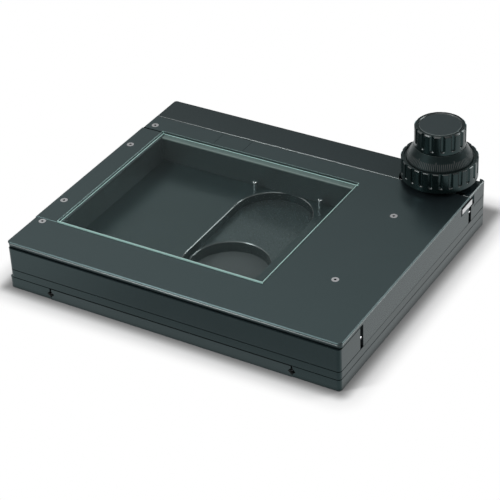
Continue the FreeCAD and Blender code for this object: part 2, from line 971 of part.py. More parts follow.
def bearing_screw_places():
    places = []
    for turn in bearing_screw_turns:
        angle = math.radians(turn)
        places.append((
            knob_x + bearing_screw_ring * math.cos(angle),
            knob_y + bearing_screw_ring * math.sin(angle)))
    return places


def bearing_screw_room(place):
    x, y = place
    return cap_screw_room(
        x, y, bearing_flange_top - bearing_screw_head, bearing_screw_radius,
        bearing_screw_length, bearing_flange_top + overrun, 1)


def knob_bearing():
    bore = tube_radius + running_gap
    bush = revolve_profile(knob_x, knob_y, [
        (bore, gear_room_top), (bearing_radius, gear_room_top),
        (bearing_radius, recess_floor), (bearing_flange, recess_floor),
        (bearing_flange, bearing_flange_top - bearing_bevel),
        (bearing_flange - bearing_bevel, bearing_flange_top),
        (bearing_radius, bearing_flange_top), (bearing_radius, bearing_top - bearing_bevel),
        (bearing_radius - bearing_bevel, bearing_top), (bore, bearing_top)])
    # The flange is cut flat where it meets the rear face of the cover.
    bush = bush.cut(block(
        knob_x - bearing_flange, knob_x + bearing_flange, stage_rear - bearing_flange_rear,
        stage_rear + bearing_flange, recess_floor - overrun, bearing_flange_top + overrun))
    return cut_all(bush, [bearing_screw_room(place) for place in bearing_screw_places()])


def knob_bearing_screws():
    return [
        cap_screw(x, y, bearing_flange_top - bearing_screw_head, bearing_screw_radius,
                  bearing_screw_length, bearing_screw_head, 1)
        for x, y in bearing_screw_places()]


def lower_bearing_bush():
    bore = shaft_radius + running_gap
    return revolve_profile(knob_x, knob_y, [
        (bore, pinion_room_top), (bush_radius, pinion_room_top), (bush_radius, rear_beam_top),
        (lower_flange_radius, rear_beam_top), (lower_flange_radius, lower_flange_top),
        (bore, lower_flange_top)])


# Specimen frame

frame_left_inset = 2.0
lip_front_inset = 2.5
cover_seam_bevel = 0.4
front_wall = 10.4
frame_left = frame_left_inset - stage_half_width
frame_front = x_guide_front_y + x_guide_mouth
frame_rear = x_guide_rear_y - x_guide_mouth
lip_front = stage_front + lip_front_inset
well_right = post_x + post_radius + moving_gap + x_travel_left
well_behind_post = 7.0
well_front = frame_front + front_wall
well_rear = post_y + well_behind_post
rack_over_step = 0.7
rack_seat = rear_step_top + rack_over_step
x_rack_depth = 25.5
x_rack_height = 6.5
rack_room_margin = 4.0
x_rack_front = x_pitch_line - x_rack_depth
x_rack_left = knob_x - x_travel_right - rack_spare
x_rack_right = stage_half_width - rack_setback
x_rack_top = rack_seat + x_rack_height
rack_room_front = x_rack_front - rack_room_margin
rack_room_left = x_rack_left - rack_room_margin
well_corner = 3.0
seat_strip_thickness = 1.8
seat_strip_bottom = cover_bottom - seat_strip_thickness
glass_ledge_side = 3.35
glass_ledge_front = 2.5
glass_ledge_rear = 7.5
glass_left = well_left - glass_ledge_side
glass_right = well_right + glass_ledge_side
glass_front = well_front - glass_ledge_front
glass_rear = well_rear + glass_ledge_rear


def before_lip_rear(point):
    return point.y < lip_rear - seat_gap


def specimen_frame():
    body = block(frame_left, stage_half_width, frame_front, frame_rear, frame_bottom, frame_top)
    lip = rounded_block(
        frame_left, stage_half_width, lip_front, lip_rear, frame_top, cover_bottom,
        [(frame_left, lip_front), (stage_half_width, lip_front)])
    lip = chamfer_level_edges(lip, cover_bottom, cover_seam_bevel, before_lip_rear)
    body = body.fuse(lip).removeSplitter()
    well = block(
        well_left, well_right, well_front, well_rear,
        frame_bottom - overrun, cover_bottom + overrun)
    body = body.cut(well.makeFillet(well_corner, upright_edges(
        well, outer_corners(well_left, well_right, well_front, well_rear))))
    body = body.cut(block(
        rack_room_left, stage_half_width + overrun, rack_room_front, lip_rear + overrun,
        rack_seat, cover_bottom + overrun))
    body = body.cut(block(
        well_left, well_right, well_rear - overrun, glass_rear + seat_gap,
        seat_strip_bottom, cover_bottom + overrun))
    body = body.cut(x_rail_pocket(x_guide_front_y, -1))
    body = body.cut(x_rail_pocket(x_guide_rear_y, 1))
    for room in rail_screw_rooms(x_rail_length):
        body = body.cut(at_x_guide(room, x_guide_front_y, -1))
    for room in rail_screw_rooms(x_rail_length):
        body = body.cut(at_x_guide(room, x_guide_rear_y, 1))
    body = cut_all(body, [x_rack_screw_room(place) for place in x_rack_screw_places()])
    for x, y in cover_screw_places():
        body = body.cut(cover_screw_room(x, y))
    return cut_all(body, block_screw_rooms())


# Left-to-right drive: the rack rides on the frame behind the well.

x_pinion_lift = 0.1
x_pinion_bottom = rack_seat + x_pinion_lift
x_pinion_top = x_rack_top
x_rack_screw_inset = 4.5
x_rack_screw_y = x_rack_front + x_rack_screw_inset
x_rack_screw_length = 8.0
x_rack_screw_count = 4


def x_rack_screw_places():
    return spread(x_rack_left + rack_end_inset, x_rack_right - rack_end_inset, x_rack_screw_count)


def x_rack_screw_room(place):
    seat = x_rack_top - rack_screw_head - seam_gap
    return cap_screw_room(
        place, x_rack_screw_y, seat, rack_screw_radius, x_rack_screw_length,
        x_rack_top + overrun, 1)


def x_rack():
    teeth, root = rack_teeth(x_rack_left, x_rack_right, x_pitch_line, backlash)
    outline = [(x_rack_right, root)] + teeth + [(x_rack_left, root)]
    outline += [(x_rack_left, x_rack_front), (x_rack_right, x_rack_front)]
    points = [vec(along, across, rack_seat) for along, across in outline]
    rack = prism(points, vec(0, 0, x_rack_top - rack_seat))
    return cut_all(rack, [x_rack_screw_room(place) for place in x_rack_screw_places()])


def x_rack_screws():
    seat = x_rack_top - rack_screw_head - seam_gap
    return [
        cap_screw(place, x_rack_screw_y, seat, rack_screw_radius, x_rack_screw_length,
                  rack_screw_head, 1)
        for place in x_rack_screw_places()]


# Glass specimen plate, its clamp block and the covers around it

glass_thickness = 4.0
glass_bevel = 0.8
glass_gap = 0.5
seat_strip_bevel = 0.7
cover_left_inset = 1.0
cover_left = cover_left_inset - stage_half_width
left_strip_left = -stage_half_width
cover_bevel = 0.9
strip_front = glass_front - glass_gap
strip_rear = glass_rear
block_offset = 62.2
block_width = 36.2
block_rear_inset = 1.1
block_left = glass_left + block_offset
block_right = block_left + block_width
block_rear = lip_rear - block_rear_inset
block_screw_y = (glass_rear + block_rear) / 2
block_screw_inset = 8.0
block_screw_radius = 1.5
block_screw_head = 3.0
block_screw_grip = 8.0
block_screw_thread = 1.6
block_screw_seat = cover_bottom - block_screw_grip
block_screw_length = block_screw_grip + block_screw_thread
cover_screw_radius = 2.0
cover_screw_length = 9.0
cover_screw_head_radius = 3.85
left_screw_inset = 9.0
right_screw_inset_x = 54.0
corner_screw_front_inset = 12.0
corner_screw_rear_inset = 11.0
corner_screw_to_glass_front = 5.0
corner_screw_to_glass_rear = 9.0
row_to_glass_end = 38.0


def cover_screw_places():
    front_row = glass_front + row_to_glass_end
    rear_row = glass_rear - row_to_glass_end
    left = left_screw_inset - stage_half_width
    right = stage_half_width - right_screw_inset_x
    return [
        (corner_screw_front_inset - stage_half_width, glass_front - corner_screw_to_glass_front),
        (corner_screw_rear_inset - stage_half_width, glass_rear + corner_screw_to_glass_rear),
        (left, front_row),
        (left, rear_row),
        (right, front_row),
        (right, rear_row),
    ]


def flat_head_screw(x, y, top, length, head_radius, shank_radius):
    # A countersunk head with a hexagon socket.
    bottom = top - length
    cone = head_radius - shank_radius
    screw = revolve_profile(x, y, [
        (0, bottom), (shank_radius, bottom), (shank_radius, top - cone),
        (head_radius, top), (0, top)])
    socket = hex_socket(head_radius * flat_socket_share, cone + overrun)
    socket.translate(vec(x, y, top - cone))
    return screw.cut(socket)


def flat_head_room(x, y, top, length, head_radius, shank_radius):
    bottom = top - length
    cone = head_radius - shank_radius
    reach = shank_radius + tap_gap
    wide = head_radius + tap_gap
    return revolve_profile(x, y, [
        (0, bottom - screw_clearance), (reach, bottom - screw_clearance),
        (reach, top - cone), (wide, top), (wide, top + overrun), (0, top + overrun)])


def cover_screw_room(x, y):
    return flat_head_room(
        x, y, cover_top, cover_screw_length, cover_screw_head_radius, cover_screw_radius)


def cover_screws():
    return [
        flat_head_screw(x, y, cover_top, cover_screw_length, cover_screw_head_radius,
                        cover_screw_radius)
        for x, y in cover_screw_places()]


def block_screw_xs():
    return (block_left + block_screw_inset, block_right - block_screw_inset)


def block_screw_rooms():
    return [
        cap_screw_room(x, block_screw_y, block_screw_seat, block_screw_radius,
                       block_screw_length, frame_bottom - overrun, -1)
        for x in block_screw_xs()]


def clamp_block():
    # The block is screwed on from below, so its top stays plain.
    body = block(block_left, block_right, glass_rear + moving_gap, block_rear,
                 cover_bottom, cover_top)
    return cut_all(body, block_screw_rooms())


def clamp_block_screws():
    return [
        cap_screw(x, block_screw_y, block_screw_seat, block_screw_radius,
                  block_screw_length, block_screw_head, -1)
        for x in block_screw_xs()]


def top_cover():
    body = rounded_block(
        cover_left, stage_half_width, lip_front, lip_rear, cover_bottom, cover_top,
        [(cover_left, lip_front), (stage_half_width, lip_front)])


    def on_rear(point):
        return point.y > lip_rear - seat_gap

    body = chamfer_level_edges(body, cover_top, cover_bevel, before_lip_rear)
    body = chamfer_level_edges(body, cover_top, fine_bevel, on_rear)
    body = chamfer_level_edges(body, cover_bottom, cover_seam_bevel, before_lip_rear)
    body = body.cut(block(
        cover_left - overrun, glass_right + glass_gap,
        strip_front, strip_rear + glass_gap,
        cover_bottom - overrun, cover_top + overrun))
    body = body.cut(block(
        block_left - seam_gap, block_right + seam_gap, strip_rear - overrun,
        block_rear + seam_gap, cover_bottom - overrun, cover_top + overrun))
    for x, y in cover_screw_places():
        body = body.cut(cover_screw_room(x, y))
    return body


def left_cover_strip():
    body = block(
        left_strip_left, glass_left - glass_gap, strip_front + seam_gap,
        strip_rear - seam_gap, cover_bottom, cover_top)
    body = chamfer_level_edges(body, cover_top, cover_bevel, all_round)
    for x, y in cover_screw_places():
        body = body.cut(cover_screw_room(x, y))
    return body


def glass_seat_strip():
    # A strip under the rear edge of the glass, bevelled towards the well.
    body = block(
        well_left + seat_gap, well_right - seat_gap, well_rear, glass_rear,
        seat_strip_bottom, cover_bottom)

    def on_front(point):
        return point.y < well_rear + seat_gap

    return chamfer_level_edges(body, cover_bottom, seat_strip_bevel, on_front)


def glass_plate():
    body = block(
        glass_left, glass_right, glass_front, glass_rear,
        cover_bottom, cover_bottom + glass_thickness)
    return chamfer_level_edges(
        body, cover_bottom + glass_thickness, glass_bevel, all_round)


# Knobs, seen from above as a stack: lower knob, dial cone, upper knob

lower_flutes = 24
lower_flute_radius = 3.0
lower_flute_offset = 1.4
lower_flute_band = 5.0
lower_flute_turn = -3.2
lower_rim_width = 3.3
lower_wall = 7.3
lower_hollow_depth = 11.5
lower_hub_radius = 14.0
lower_flute_bottom = knob_bottom + lower_flute_band
lower_rim_radius = lower_knob_radius - lower_rim_width
lower_hollow_radius = lower_knob_radius - lower_wall
lower_hollow_top = knob_bottom + lower_hollow_depth
knob_bevel = 0.8
dial_radius = 35.0
dial_edge = 1.0
dial_top_radius = 27.0
upper_knob_radius = 26.8
upper_flutes = 15
upper_flute_radius = 3.0
upper_flute_offset = 1.4
upper_flute_band = 3.2
upper_flute_turn = 13.2
upper_rim_bevel = 1.4
cap_radius = 22.2
cap_depth = 1.2
cap_bevel = 0.3
cap_rim_bevel = 0.8
shaft_cover = 6.0
collar_radius = 6.5
upper_flute_bottom = dial_top + upper_flute_band
shaft_top = stage_top - shaft_cover
tube_bottom = rack_seat - moving_gap
tube_top = lower_knob_top - lower_rim_depth
collar_bottom = lower_flange_top + moving_gap
collar_top = tube_bottom - moving_gap
grub_radius = 2.0
grub_above_hollow = 5.0
lower_grub_z = lower_hollow_top + grub_above_hollow
upper_grub_z = (dial_top + shaft_top) / 2
grub_length = 8.0


def flute(radius, offset, cutter, bottom, top, angle):
    # A groove that runs out over the top and ends in a round below.
    reach = radius + offset
    groove = rod(reach, 0, bottom + cutter, top + overrun, cutter)
    end = Part.makeSphere(cutter, vec(reach, 0, bottom + cutter))
    tool = groove.fuse(end)
    tool.rotate(ORIGIN, AXIS_Z, angle)
    tool.translate(vec(knob_x, knob_y, 0))
    return tool


def fluted(body, count, radius, offset, cutter, bottom, top, turn):
    tools = [flute(radius, offset, cutter, bottom, top, turn + index * full_turn / count)
             for index in range(count)]
    return body.cut(tools)


def grub_room(height, start, end):
    return Part.makeCylinder(
        grub_radius + tap_gap, end - start, vec(knob_x, knob_y + start, height), AXIS_Y)


def grub_screw(height, start):
    body = Part.makeCylinder(
        grub_radius, grub_length, vec(knob_x, knob_y + start, height), AXIS_Y)
    socket = hex_socket(grub_radius * socket_share, grub_radius)
    socket.rotate(ORIGIN, AXIS_X, -quarter_turn)
    socket.translate(vec(
        knob_x, knob_y + start + grub_length - grub_radius * socket_share, height))
    return body.cut(socket)


def lower_knob():
    bore = tube_radius + seat_gap
    floor = tube_top
    body = revolve_profile(knob_x, knob_y, [
        (bore, knob_bottom), (lower_hub_radius, knob_bottom),
        (lower_hub_radius, lower_hollow_top), (lower_hollow_radius, lower_hollow_top),
        (lower_hollow_radius, knob_bottom), (lower_knob_radius - knob_bevel, knob_bottom),
        (lower_knob_radius, knob_bottom + knob_bevel),
        (lower_knob_radius, lower_knob_top - knob_bevel),
        (lower_knob_radius - knob_bevel, lower_knob_top),
        (lower_rim_radius, lower_knob_top), (lower_rim_radius, floor), (bore, floor)])
    body = fluted(body, lower_flutes, lower_knob_radius, lower_flute_offset,
                  lower_flute_radius, lower_flute_bottom, lower_knob_top, lower_flute_turn)
    return body.cut(grub_room(lower_grub_z, tube_radius, lower_knob_radius + overrun))


def dial_cone():
    bore = shaft_radius + seat_gap
    return revolve_profile(knob_x, knob_y, [
        (bore, dial_bottom), (dial_radius, dial_bottom), (dial_radius, dial_bottom + dial_edge),
        (dial_top_radius, dial_top), (bore, dial_top)])


def upper_knob():
    bore = shaft_radius + seat_gap
    body = revolve_profile(knob_x, knob_y, [
        (bore, dial_top), (upper_knob_radius - knob_bevel, dial_top),
        (upper_knob_radius, dial_top + knob_bevel),
        (upper_knob_radius, stage_top - upper_rim_bevel),
        (upper_knob_radius - upper_rim_bevel, stage_top),
        (cap_radius + cap_rim_bevel, stage_top), (cap_radius, stage_top - cap_rim_bevel),
        (cap_radius, stage_top - cap_depth - moving_gap),
        (0, stage_top - cap_depth - moving_gap), (0, shaft_top + seat_gap),
        (bore, shaft_top + seat_gap)])
    body = fluted(body, upper_flutes, upper_knob_radius, upper_flute_offset,
                  upper_flute_radius, upper_flute_bottom, stage_top, upper_flute_turn)
    return body.cut(grub_room(upper_grub_z, shaft_radius, upper_knob_radius + overrun))


def knob_cap():
    # A disc let into the top of the knob, with a fine ring of shadow round it.
    disc_radius = cap_radius - moving_gap
    floor = stage_top - cap_depth - moving_gap
    top = floor + cap_depth
    return revolve_profile(knob_x, knob_y, [
        (0, floor), (disc_radius, floor), (disc_radius, top - cap_bevel),
        (disc_radius - cap_bevel, top), (0, top)])


def drive_shaft():
    shaft = rod(knob_x, knob_y, y_pinion_bottom, shaft_top, shaft_radius)
    collar = rod(knob_x, knob_y, collar_bottom, collar_top, collar_radius)
    return shaft.fuse(collar).removeSplitter()


def tube_shaft():
    tube = rod(knob_x, knob_y, tube_bottom, tube_top, tube_radius)
    return tube.cut(rod(
        knob_x, knob_y, tube_bottom - overrun, tube_top + overrun, shaft_radius + running_gap))


def tooth_turn(share):
    return share * full_turn / pinion_teeth


def y_pinion():
    # The rack lies to the left of the axis; a tooth gap has to face the nearest rack tooth.
    pitch = math.pi * gear_module
    offset = (y_rack_rear - pitch / 2 - knob_y) / pitch
    turn = full_turn / 2 + full_turn / pinion_teeth / 2
    turn -= tooth_turn(offset - round(offset))
    return pinion(knob_x, knob_y, y_pinion_bottom, y_pinion_top, shaft_radius + seat_gap, turn)


def x_pinion():
    # The rack lies in front of the axis.
    pitch = math.pi * gear_module
    offset = (x_rack_right - pitch / 2 - knob_x) / pitch
    turn = -quarter_turn + full_turn / pinion_teeth / 2
    turn += tooth_turn(offset - round(offset))
    return pinion(knob_x, knob_y, x_pinion_bottom, x_pinion_top, tube_radius + seat_gap, turn)


def y_cages():
    return [at_y_guide(roller_cage(y_cage_length, y_cage_low, y_cage_high), side, side)
            for side in (-1, 1)]


def x_cages():
    return [at_x_guide(roller_cage(x_cage_length, -x_cage_half_height, x_cage_half_height),
                       y, 1)
            for y in (x_guide_front_y, x_guide_rear_y)]


def y_rollers():
    return [at_y_guide(roller, side, side)
            for side in (-1, 1) for roller in crossed_rollers(y_cage_length)]


def x_rollers():
    return [at_x_guide(roller, y, 1)
            for y in (x_guide_front_y, x_guide_rear_y)
            for roller in crossed_rollers(x_cage_length)]


def build():
    os.makedirs("parts", exist_ok=True)
    export_node("base_plate", base_plate())
    export_node("y_fixed_rails", y_fixed_rails())
    export_node("y_fixed_rail_end_screws", y_rail_end_screws(False))
    export_node("y_fixed_rail_screws", y_rail_screws(False))
    export_node("y_rack", y_rack())
    export_node("y_rack_screws", y_rack_screws())
    export_node("y_stop_pin", y_stop_pin())
    export_node("y_cage_stop_pins", y_cage_stops(y_cage_stop_radius))
    export_node("carriage_plate", carriage_plate())
    export_node("left_side_rail", side_rail(-1, -side_rail_left))
    export_node("right_side_rail", side_rail(1, stage_half_width))
    export_node("side_rail_screws", side_rail_screws())
    export_node("y_moving_rails", y_moving_rails())
    export_node("y_moving_rail_screws", y_rail_screws(True))
    export_node("front_beam", front_beam())
    export_node("rear_beam", rear_beam())
    export_node("beam_screws", beam_screws())
    export_node("rear_cover", rear_cover())
    export_node("x_fixed_rails", x_fixed_rails())
    export_node("x_fixed_rail_end_screws", x_rail_pieces(end_screws, False))
    export_node("x_fixed_rail_screws", x_rail_pieces(rail_screws, False))
    export_node("x_cage_stop_pins", x_cage_stops(x_cage_stop_radius))
    export_node("stop_posts", stop_posts())
    export_node("knob_bearing", knob_bearing())
    export_node("knob_bearing_screws", knob_bearing_screws())
    export_node("lower_bearing_bush", lower_bearing_bush())
    export_node("specimen_frame", specimen_frame())
    export_node("x_moving_rails", x_moving_rails())
    export_node("x_moving_rail_screws", x_rail_pieces(rail_screws, True))
    export_node("x_rack", x_rack())
    export_node("x_rack_screws", x_rack_screws())
    export_node("top_cover", top_cover())
    export_node("left_cover_strip", left_cover_strip())
    export_node("cover_screws", cover_screws())
    export_node("clamp_block", clamp_block())
    export_node("clamp_block_screws", clamp_block_screws())
    export_node("glass_seat_strip", glass_seat_strip())
    export_node("glass_plate", glass_plate())
    export_node("y_roller_cages", y_cages())
    export_node("y_rollers", y_rollers())
    export_node("x_roller_cages", x_cages())
    export_node("x_rollers", x_rollers())
    export_node("drive_shaft", drive_shaft())
    export_node("y_pinion", y_pinion())
    export_node("dial_cone", dial_cone())
    export_node("upper_knob", upper_knob())
    export_node("upper_knob_screw", grub_screw(upper_grub_z, shaft_radius + seat_gap))
    export_node("knob_cap", knob_cap())
    export_node("tube_shaft", tube_shaft())
    export_node("x_pinion", x_pinion())
    export_node("lower_knob", lower_knob())
    export_node("lower_knob_screw", grub_screw(lower_grub_z, tube_radius + seat_gap))


build()
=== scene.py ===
# %% [markdown]
# # A mechanical microscope stage
# The solids of this stage come from its CAD model: plates, beams, crossed-roller guides,
# racks, pinions and a coaxial pair of knobs. They already have their true shape and place,
# so this lesson is about light, camera and surface: how black anodised metal, moulded
# plastic, ground steel and a glass plate are told apart when nearly all of them are dark.
# Its objects sit at the origin with their place in the mesh, which means that Object
# coordinates are the stage's own metres.
# %% Load the frame
import json
import math

import bpy
from mathutils import Matrix, Vector


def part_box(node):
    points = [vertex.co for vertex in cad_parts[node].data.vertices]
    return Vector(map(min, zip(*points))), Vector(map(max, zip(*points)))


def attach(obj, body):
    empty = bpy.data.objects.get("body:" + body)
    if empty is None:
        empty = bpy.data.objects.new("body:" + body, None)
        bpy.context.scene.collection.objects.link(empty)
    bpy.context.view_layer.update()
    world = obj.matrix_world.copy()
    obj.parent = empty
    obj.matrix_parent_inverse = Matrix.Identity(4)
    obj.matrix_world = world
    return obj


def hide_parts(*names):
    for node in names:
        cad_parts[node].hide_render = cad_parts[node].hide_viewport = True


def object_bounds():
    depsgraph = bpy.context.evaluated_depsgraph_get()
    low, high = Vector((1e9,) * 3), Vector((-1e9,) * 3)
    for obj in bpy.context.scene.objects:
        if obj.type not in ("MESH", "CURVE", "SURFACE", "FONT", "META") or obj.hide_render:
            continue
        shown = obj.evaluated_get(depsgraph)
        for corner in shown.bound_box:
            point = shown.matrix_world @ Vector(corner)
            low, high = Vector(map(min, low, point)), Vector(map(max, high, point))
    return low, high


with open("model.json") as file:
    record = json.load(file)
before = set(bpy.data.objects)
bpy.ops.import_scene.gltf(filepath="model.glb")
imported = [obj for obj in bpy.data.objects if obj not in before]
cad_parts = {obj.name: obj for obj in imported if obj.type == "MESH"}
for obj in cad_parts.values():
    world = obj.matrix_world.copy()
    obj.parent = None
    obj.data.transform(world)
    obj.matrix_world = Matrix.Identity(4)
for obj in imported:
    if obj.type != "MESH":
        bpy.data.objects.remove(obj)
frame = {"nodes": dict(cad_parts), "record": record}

millimetre = 0.001
cad_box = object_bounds()
nodes = frame["nodes"]
print("nodes", len(nodes), "box", cad_box)

# %% [markdown]
# ## The camera
# The picture was taken with a long lens from the right front, a little above the stage. A
# camera can be aimed with a Track To constraint, but then its tilt can't be set, and here
# the picture is turned by almost three degrees. So the three axes of the camera are worked
# out from azimuth, elevation and roll and put into its matrix.
# %% Camera
camera_place = Vector((0.8430, -1.3182, 1.0823))
camera_azimuth = math.radians(31.807)
camera_elevation = math.radians(33.945)
camera_roll = math.radians(-2.843)

forward = Vector((
    -math.sin(camera_azimuth) * math.cos(camera_elevation),
    math.cos(camera_azimuth) * math.cos(camera_elevation),
    -math.sin(camera_elevation)))
level = Vector((math.cos(camera_azimuth), math.sin(camera_azimuth), 0))
upright = level.cross(forward)
side_axis = level * math.cos(camera_roll) + upright * math.sin(camera_roll)
up_axis = upright * math.cos(camera_roll) - level * math.sin(camera_roll)

lens = bpy.data.cameras.new("stage_camera")
lens.sensor_width = 36
lens.lens = 133.94
camera = bpy.data.objects.new("stage_camera", lens)
bpy.context.scene.collection.objects.link(camera)
camera.matrix_world = Matrix((
    (side_axis.x, up_axis.x, -forward.x, camera_place.x),
    (side_axis.y, up_axis.y, -forward.y, camera_place.y),
    (side_axis.z, up_axis.z, -forward.z, camera_place.z),
    (0, 0, 0, 1)))
bpy.context.scene.camera = camera
print("lens", lens.lens, "forward", tuple(round(v, 4) for v in forward))

# %% [markdown]
# ## Helpers for node trees
# Every material below is a small graph of nodes. Clicking them together works, but a script
# can be read and run again. One helper adds a node and sets its inputs by name, the second
# joins an output to an input, and the third starts a material, so that each finish reads as
# a short list.
# %% Node helpers


def add(tree, kind, settings=None, **inputs):
    node = tree.nodes.new(kind)
    for key, value in (settings or {}).items():
        setattr(node, key, value)
    for key, value in inputs.items():
        node.inputs[key.replace("_", " ")].default_value = value
    return node


def join(tree, source, target):
    tree.links.new(source, target)


def new_finish(name, **inputs):
    finish = bpy.data.materials.new(name)
    finish.use_nodes = True
    tree = finish.node_tree
    tree.nodes.clear()
    shader = add(tree, "ShaderNodeBsdfPrincipled", **inputs)
    output = add(tree, "ShaderNodeOutputMaterial")
    join(tree, shader.outputs["BSDF"], output.inputs["Surface"])
    place = add(tree, "ShaderNodeTexCoord").outputs["Object"]
    return finish, tree, shader, place


print("helpers ready")

# %% [markdown]
# ## Room and light
# Black parts show hardly any colour of their own. What the eye reads is the room that
# mirrors in them, stronger at a flat angle, which is the Fresnel effect. So the room is half
# of the material here. Camera and transmission rays see a plain white world at a strength
# of 1. Glossy rays see it bright overhead only: it darkens towards the horizon, and sooner
# on the right, as a studio does behind its table. This is why the covers look lighter than
# the walls below them. Glossy Depth is used with Is Glossy Ray, so that a mirror image that
# leaves through the glass plate sees the same room.
# %% World
scene = bpy.context.scene
scene.view_settings.view_transform = "Standard"
world = bpy.data.worlds.new("white_room")
scene.world = world
world.use_nodes = True
tree = world.node_tree
tree.nodes.clear()


def math_node(tree, operation, *sources):
    node = add(tree, "ShaderNodeMath", {"operation": operation})
    for index, source in enumerate(sources):
        if isinstance(source, (int, float)):
            node.inputs[index].default_value = source
        else:
            join(tree, source, node.inputs[index])
    return node.outputs[0]


def span(tree, value, start, end, low, high):
    node = add(tree, "ShaderNodeMapRange", {"interpolation_type": "SMOOTHSTEP"})
    for title, number in (("From Min", start), ("From Max", end), ("To Min", low),
                          ("To Max", high)):
        node.inputs[title].default_value = number
    join(tree, value, node.inputs["Value"])
    return node.outputs["Result"]


def blend(tree, factor, low, high):
    node = add(tree, "ShaderNodeMix", {"data_type": "FLOAT"})
    join(tree, factor, node.inputs[0])
    for index, source in ((2, low), (3, high)):
        if isinstance(source, (int, float)):
            node.inputs[index].default_value = source
        else:
            join(tree, source, node.inputs[index])
    return node.outputs[0]


room_light = 0.68
right_side_dimming = 0.38
horizon_light = 0.06
horizon_starts, horizon_ends = 0.62, 0.745
ray = add(tree, "ShaderNodeLightPath")
way = add(tree, "ShaderNodeSeparateXYZ")
join(tree, add(tree, "ShaderNodeTexCoord").outputs["Generated"], way.inputs["Vector"])
height = math_node(
    tree, "MULTIPLY_ADD", way.outputs["X"], -right_side_dimming, way.outputs["Z"])
mirrored = span(tree, height, horizon_starts, horizon_ends, horizon_light, 1.0)
glossy = math_node(
    tree, "MAXIMUM", ray.outputs["Is Glossy Ray"],
    math_node(tree, "MINIMUM", ray.outputs["Glossy Depth"], 1.0))
plain = math_node(tree, "MAXIMUM", ray.outputs["Is Camera Ray"],
                  ray.outputs["Is Transmission Ray"])
strength = blend(tree, glossy, blend(tree, plain, room_light, 1.0), mirrored)
air = add(tree, "ShaderNodeBackground")
air.inputs["Color"].default_value = (1, 1, 1, 1)
join(tree, strength, air.inputs["Strength"])
join(tree, air.outputs["Background"], add(tree, "ShaderNodeOutputWorld").inputs["Surface"])
print("room light", room_light)

# %% [markdown]
# ## The floor
# The floor carries the shadow, but only close to the stage: there it is a matt pale sheet.
# Away from the stage it turns into an even white for every ray that can look at it, which
# keeps the soft shadow and still gives a clean white picture. Under the stage the floor is
# painted dark grey, a painted shade for the dim ground that is seen through the light hole.
# One distance to the outline of the stage drives both changes. Mirror images get their own,
# quicker change, so that the lower edges of the plates show a pale floor and not the shadow
# beside them. In front of the stage that mirrored floor falls off from left to right. Right
# at the outline the sheet is painted darker, a painted contact shadow that deepens the real
# one.
# %% Floor
floor_reach = 3.0
hole_shade_edge = (-0.06, -0.03)
white_edge = (0.008, 0.035)
contact_shadow_edge = (0.0, 0.016)
mirror_edge = (0.0, 0.006)
mirror_inner_edge = (-0.03, -0.01)
hole_shade_tone = (0.078, 0.088, 0.09)
contact_shadow_tone = (0.05, 0.05, 0.05)
floor_mesh = bpy.data.meshes.new("floor")
floor_mesh.from_pydata(
    [(-floor_reach, -floor_reach, 0), (floor_reach, -floor_reach, 0),
     (floor_reach, floor_reach, 0), (-floor_reach, floor_reach, 0)], [], [(0, 1, 2, 3)])
floor = bpy.data.objects.new("floor", floor_mesh)
scene.collection.objects.link(floor)
floor_finish, tree, shader, place = new_finish(
    "pale_floor", Base_Color=(0.97, 0.97, 0.97, 1), Roughness=0.9)
shader.inputs["Specular IOR Level"].default_value = 0.0
grain = add(tree, "ShaderNodeTexNoise", Scale=3.0, Detail=2.0)
join(tree, place, grain.inputs["Vector"])


def tone(tree, factor, low, high):
    node = add(tree, "ShaderNodeMix", {"data_type": "RGBA"})
    join(tree, factor, node.inputs[0])
    for index, source in ((6, low), (7, high)):
        if isinstance(source, tuple):
            node.inputs[index].default_value = (*source, 1)
        else:
            join(tree, source, node.inputs[index])
    return node.outputs[2]


def vector_node(tree, operation, source, values):
    node = add(tree, "ShaderNodeVectorMath", {"operation": operation})
    join(tree, source, node.inputs[0])
    node.inputs[1].default_value = values
    return node.outputs[0]


low, high = Vector(cad_box[0]), Vector(cad_box[1])
middle, half = (low + high) / 2, (high - low) / 2
offset = vector_node(tree, "SUBTRACT", place, (middle.x, middle.y, 0))
offset = vector_node(tree, "ABSOLUTE", offset, (0, 0, 0))
offset = vector_node(tree, "SUBTRACT", offset, (half.x, half.y, 0))
parts = add(tree, "ShaderNodeSeparateXYZ")
join(tree, offset, parts.inputs["Vector"])
inside = math_node(tree, "MAXIMUM", parts.outputs["X"], parts.outputs["Y"])
outside = add(tree, "ShaderNodeVectorMath", {"operation": "LENGTH"})
join(tree, vector_node(tree, "MAXIMUM", offset, (0, 0, 0)), outside.inputs[0])
distance = outside.outputs["Value"]
# Painted shade: the floor under the stage turns dark grey.
under = span(tree, inside, *hole_shade_edge, 1.0, 0.0)
away = span(tree, distance, *white_edge, 0.0, 1.0)
# Painted contact shadow: the sheet darkens right at the outline.
contact = span(tree, distance, *contact_shadow_edge, 0.7, 0.0)
near = math_node(
    tree, "MULTIPLY", span(tree, distance, *mirror_edge, 0.4, 1.0),
    span(tree, inside, *mirror_inner_edge, 0.0, 1.0))
sheet = tone(tree, grain.outputs["Fac"], (0.96, 0.96, 0.965), (0.985, 0.985, 0.985))
sheet = tone(tree, contact, sheet, contact_shadow_tone)
join(tree, tone(tree, under, sheet, hole_shade_tone), shader.inputs["Base Color"])
print("floor", 2 * floor_reach, "m wide")

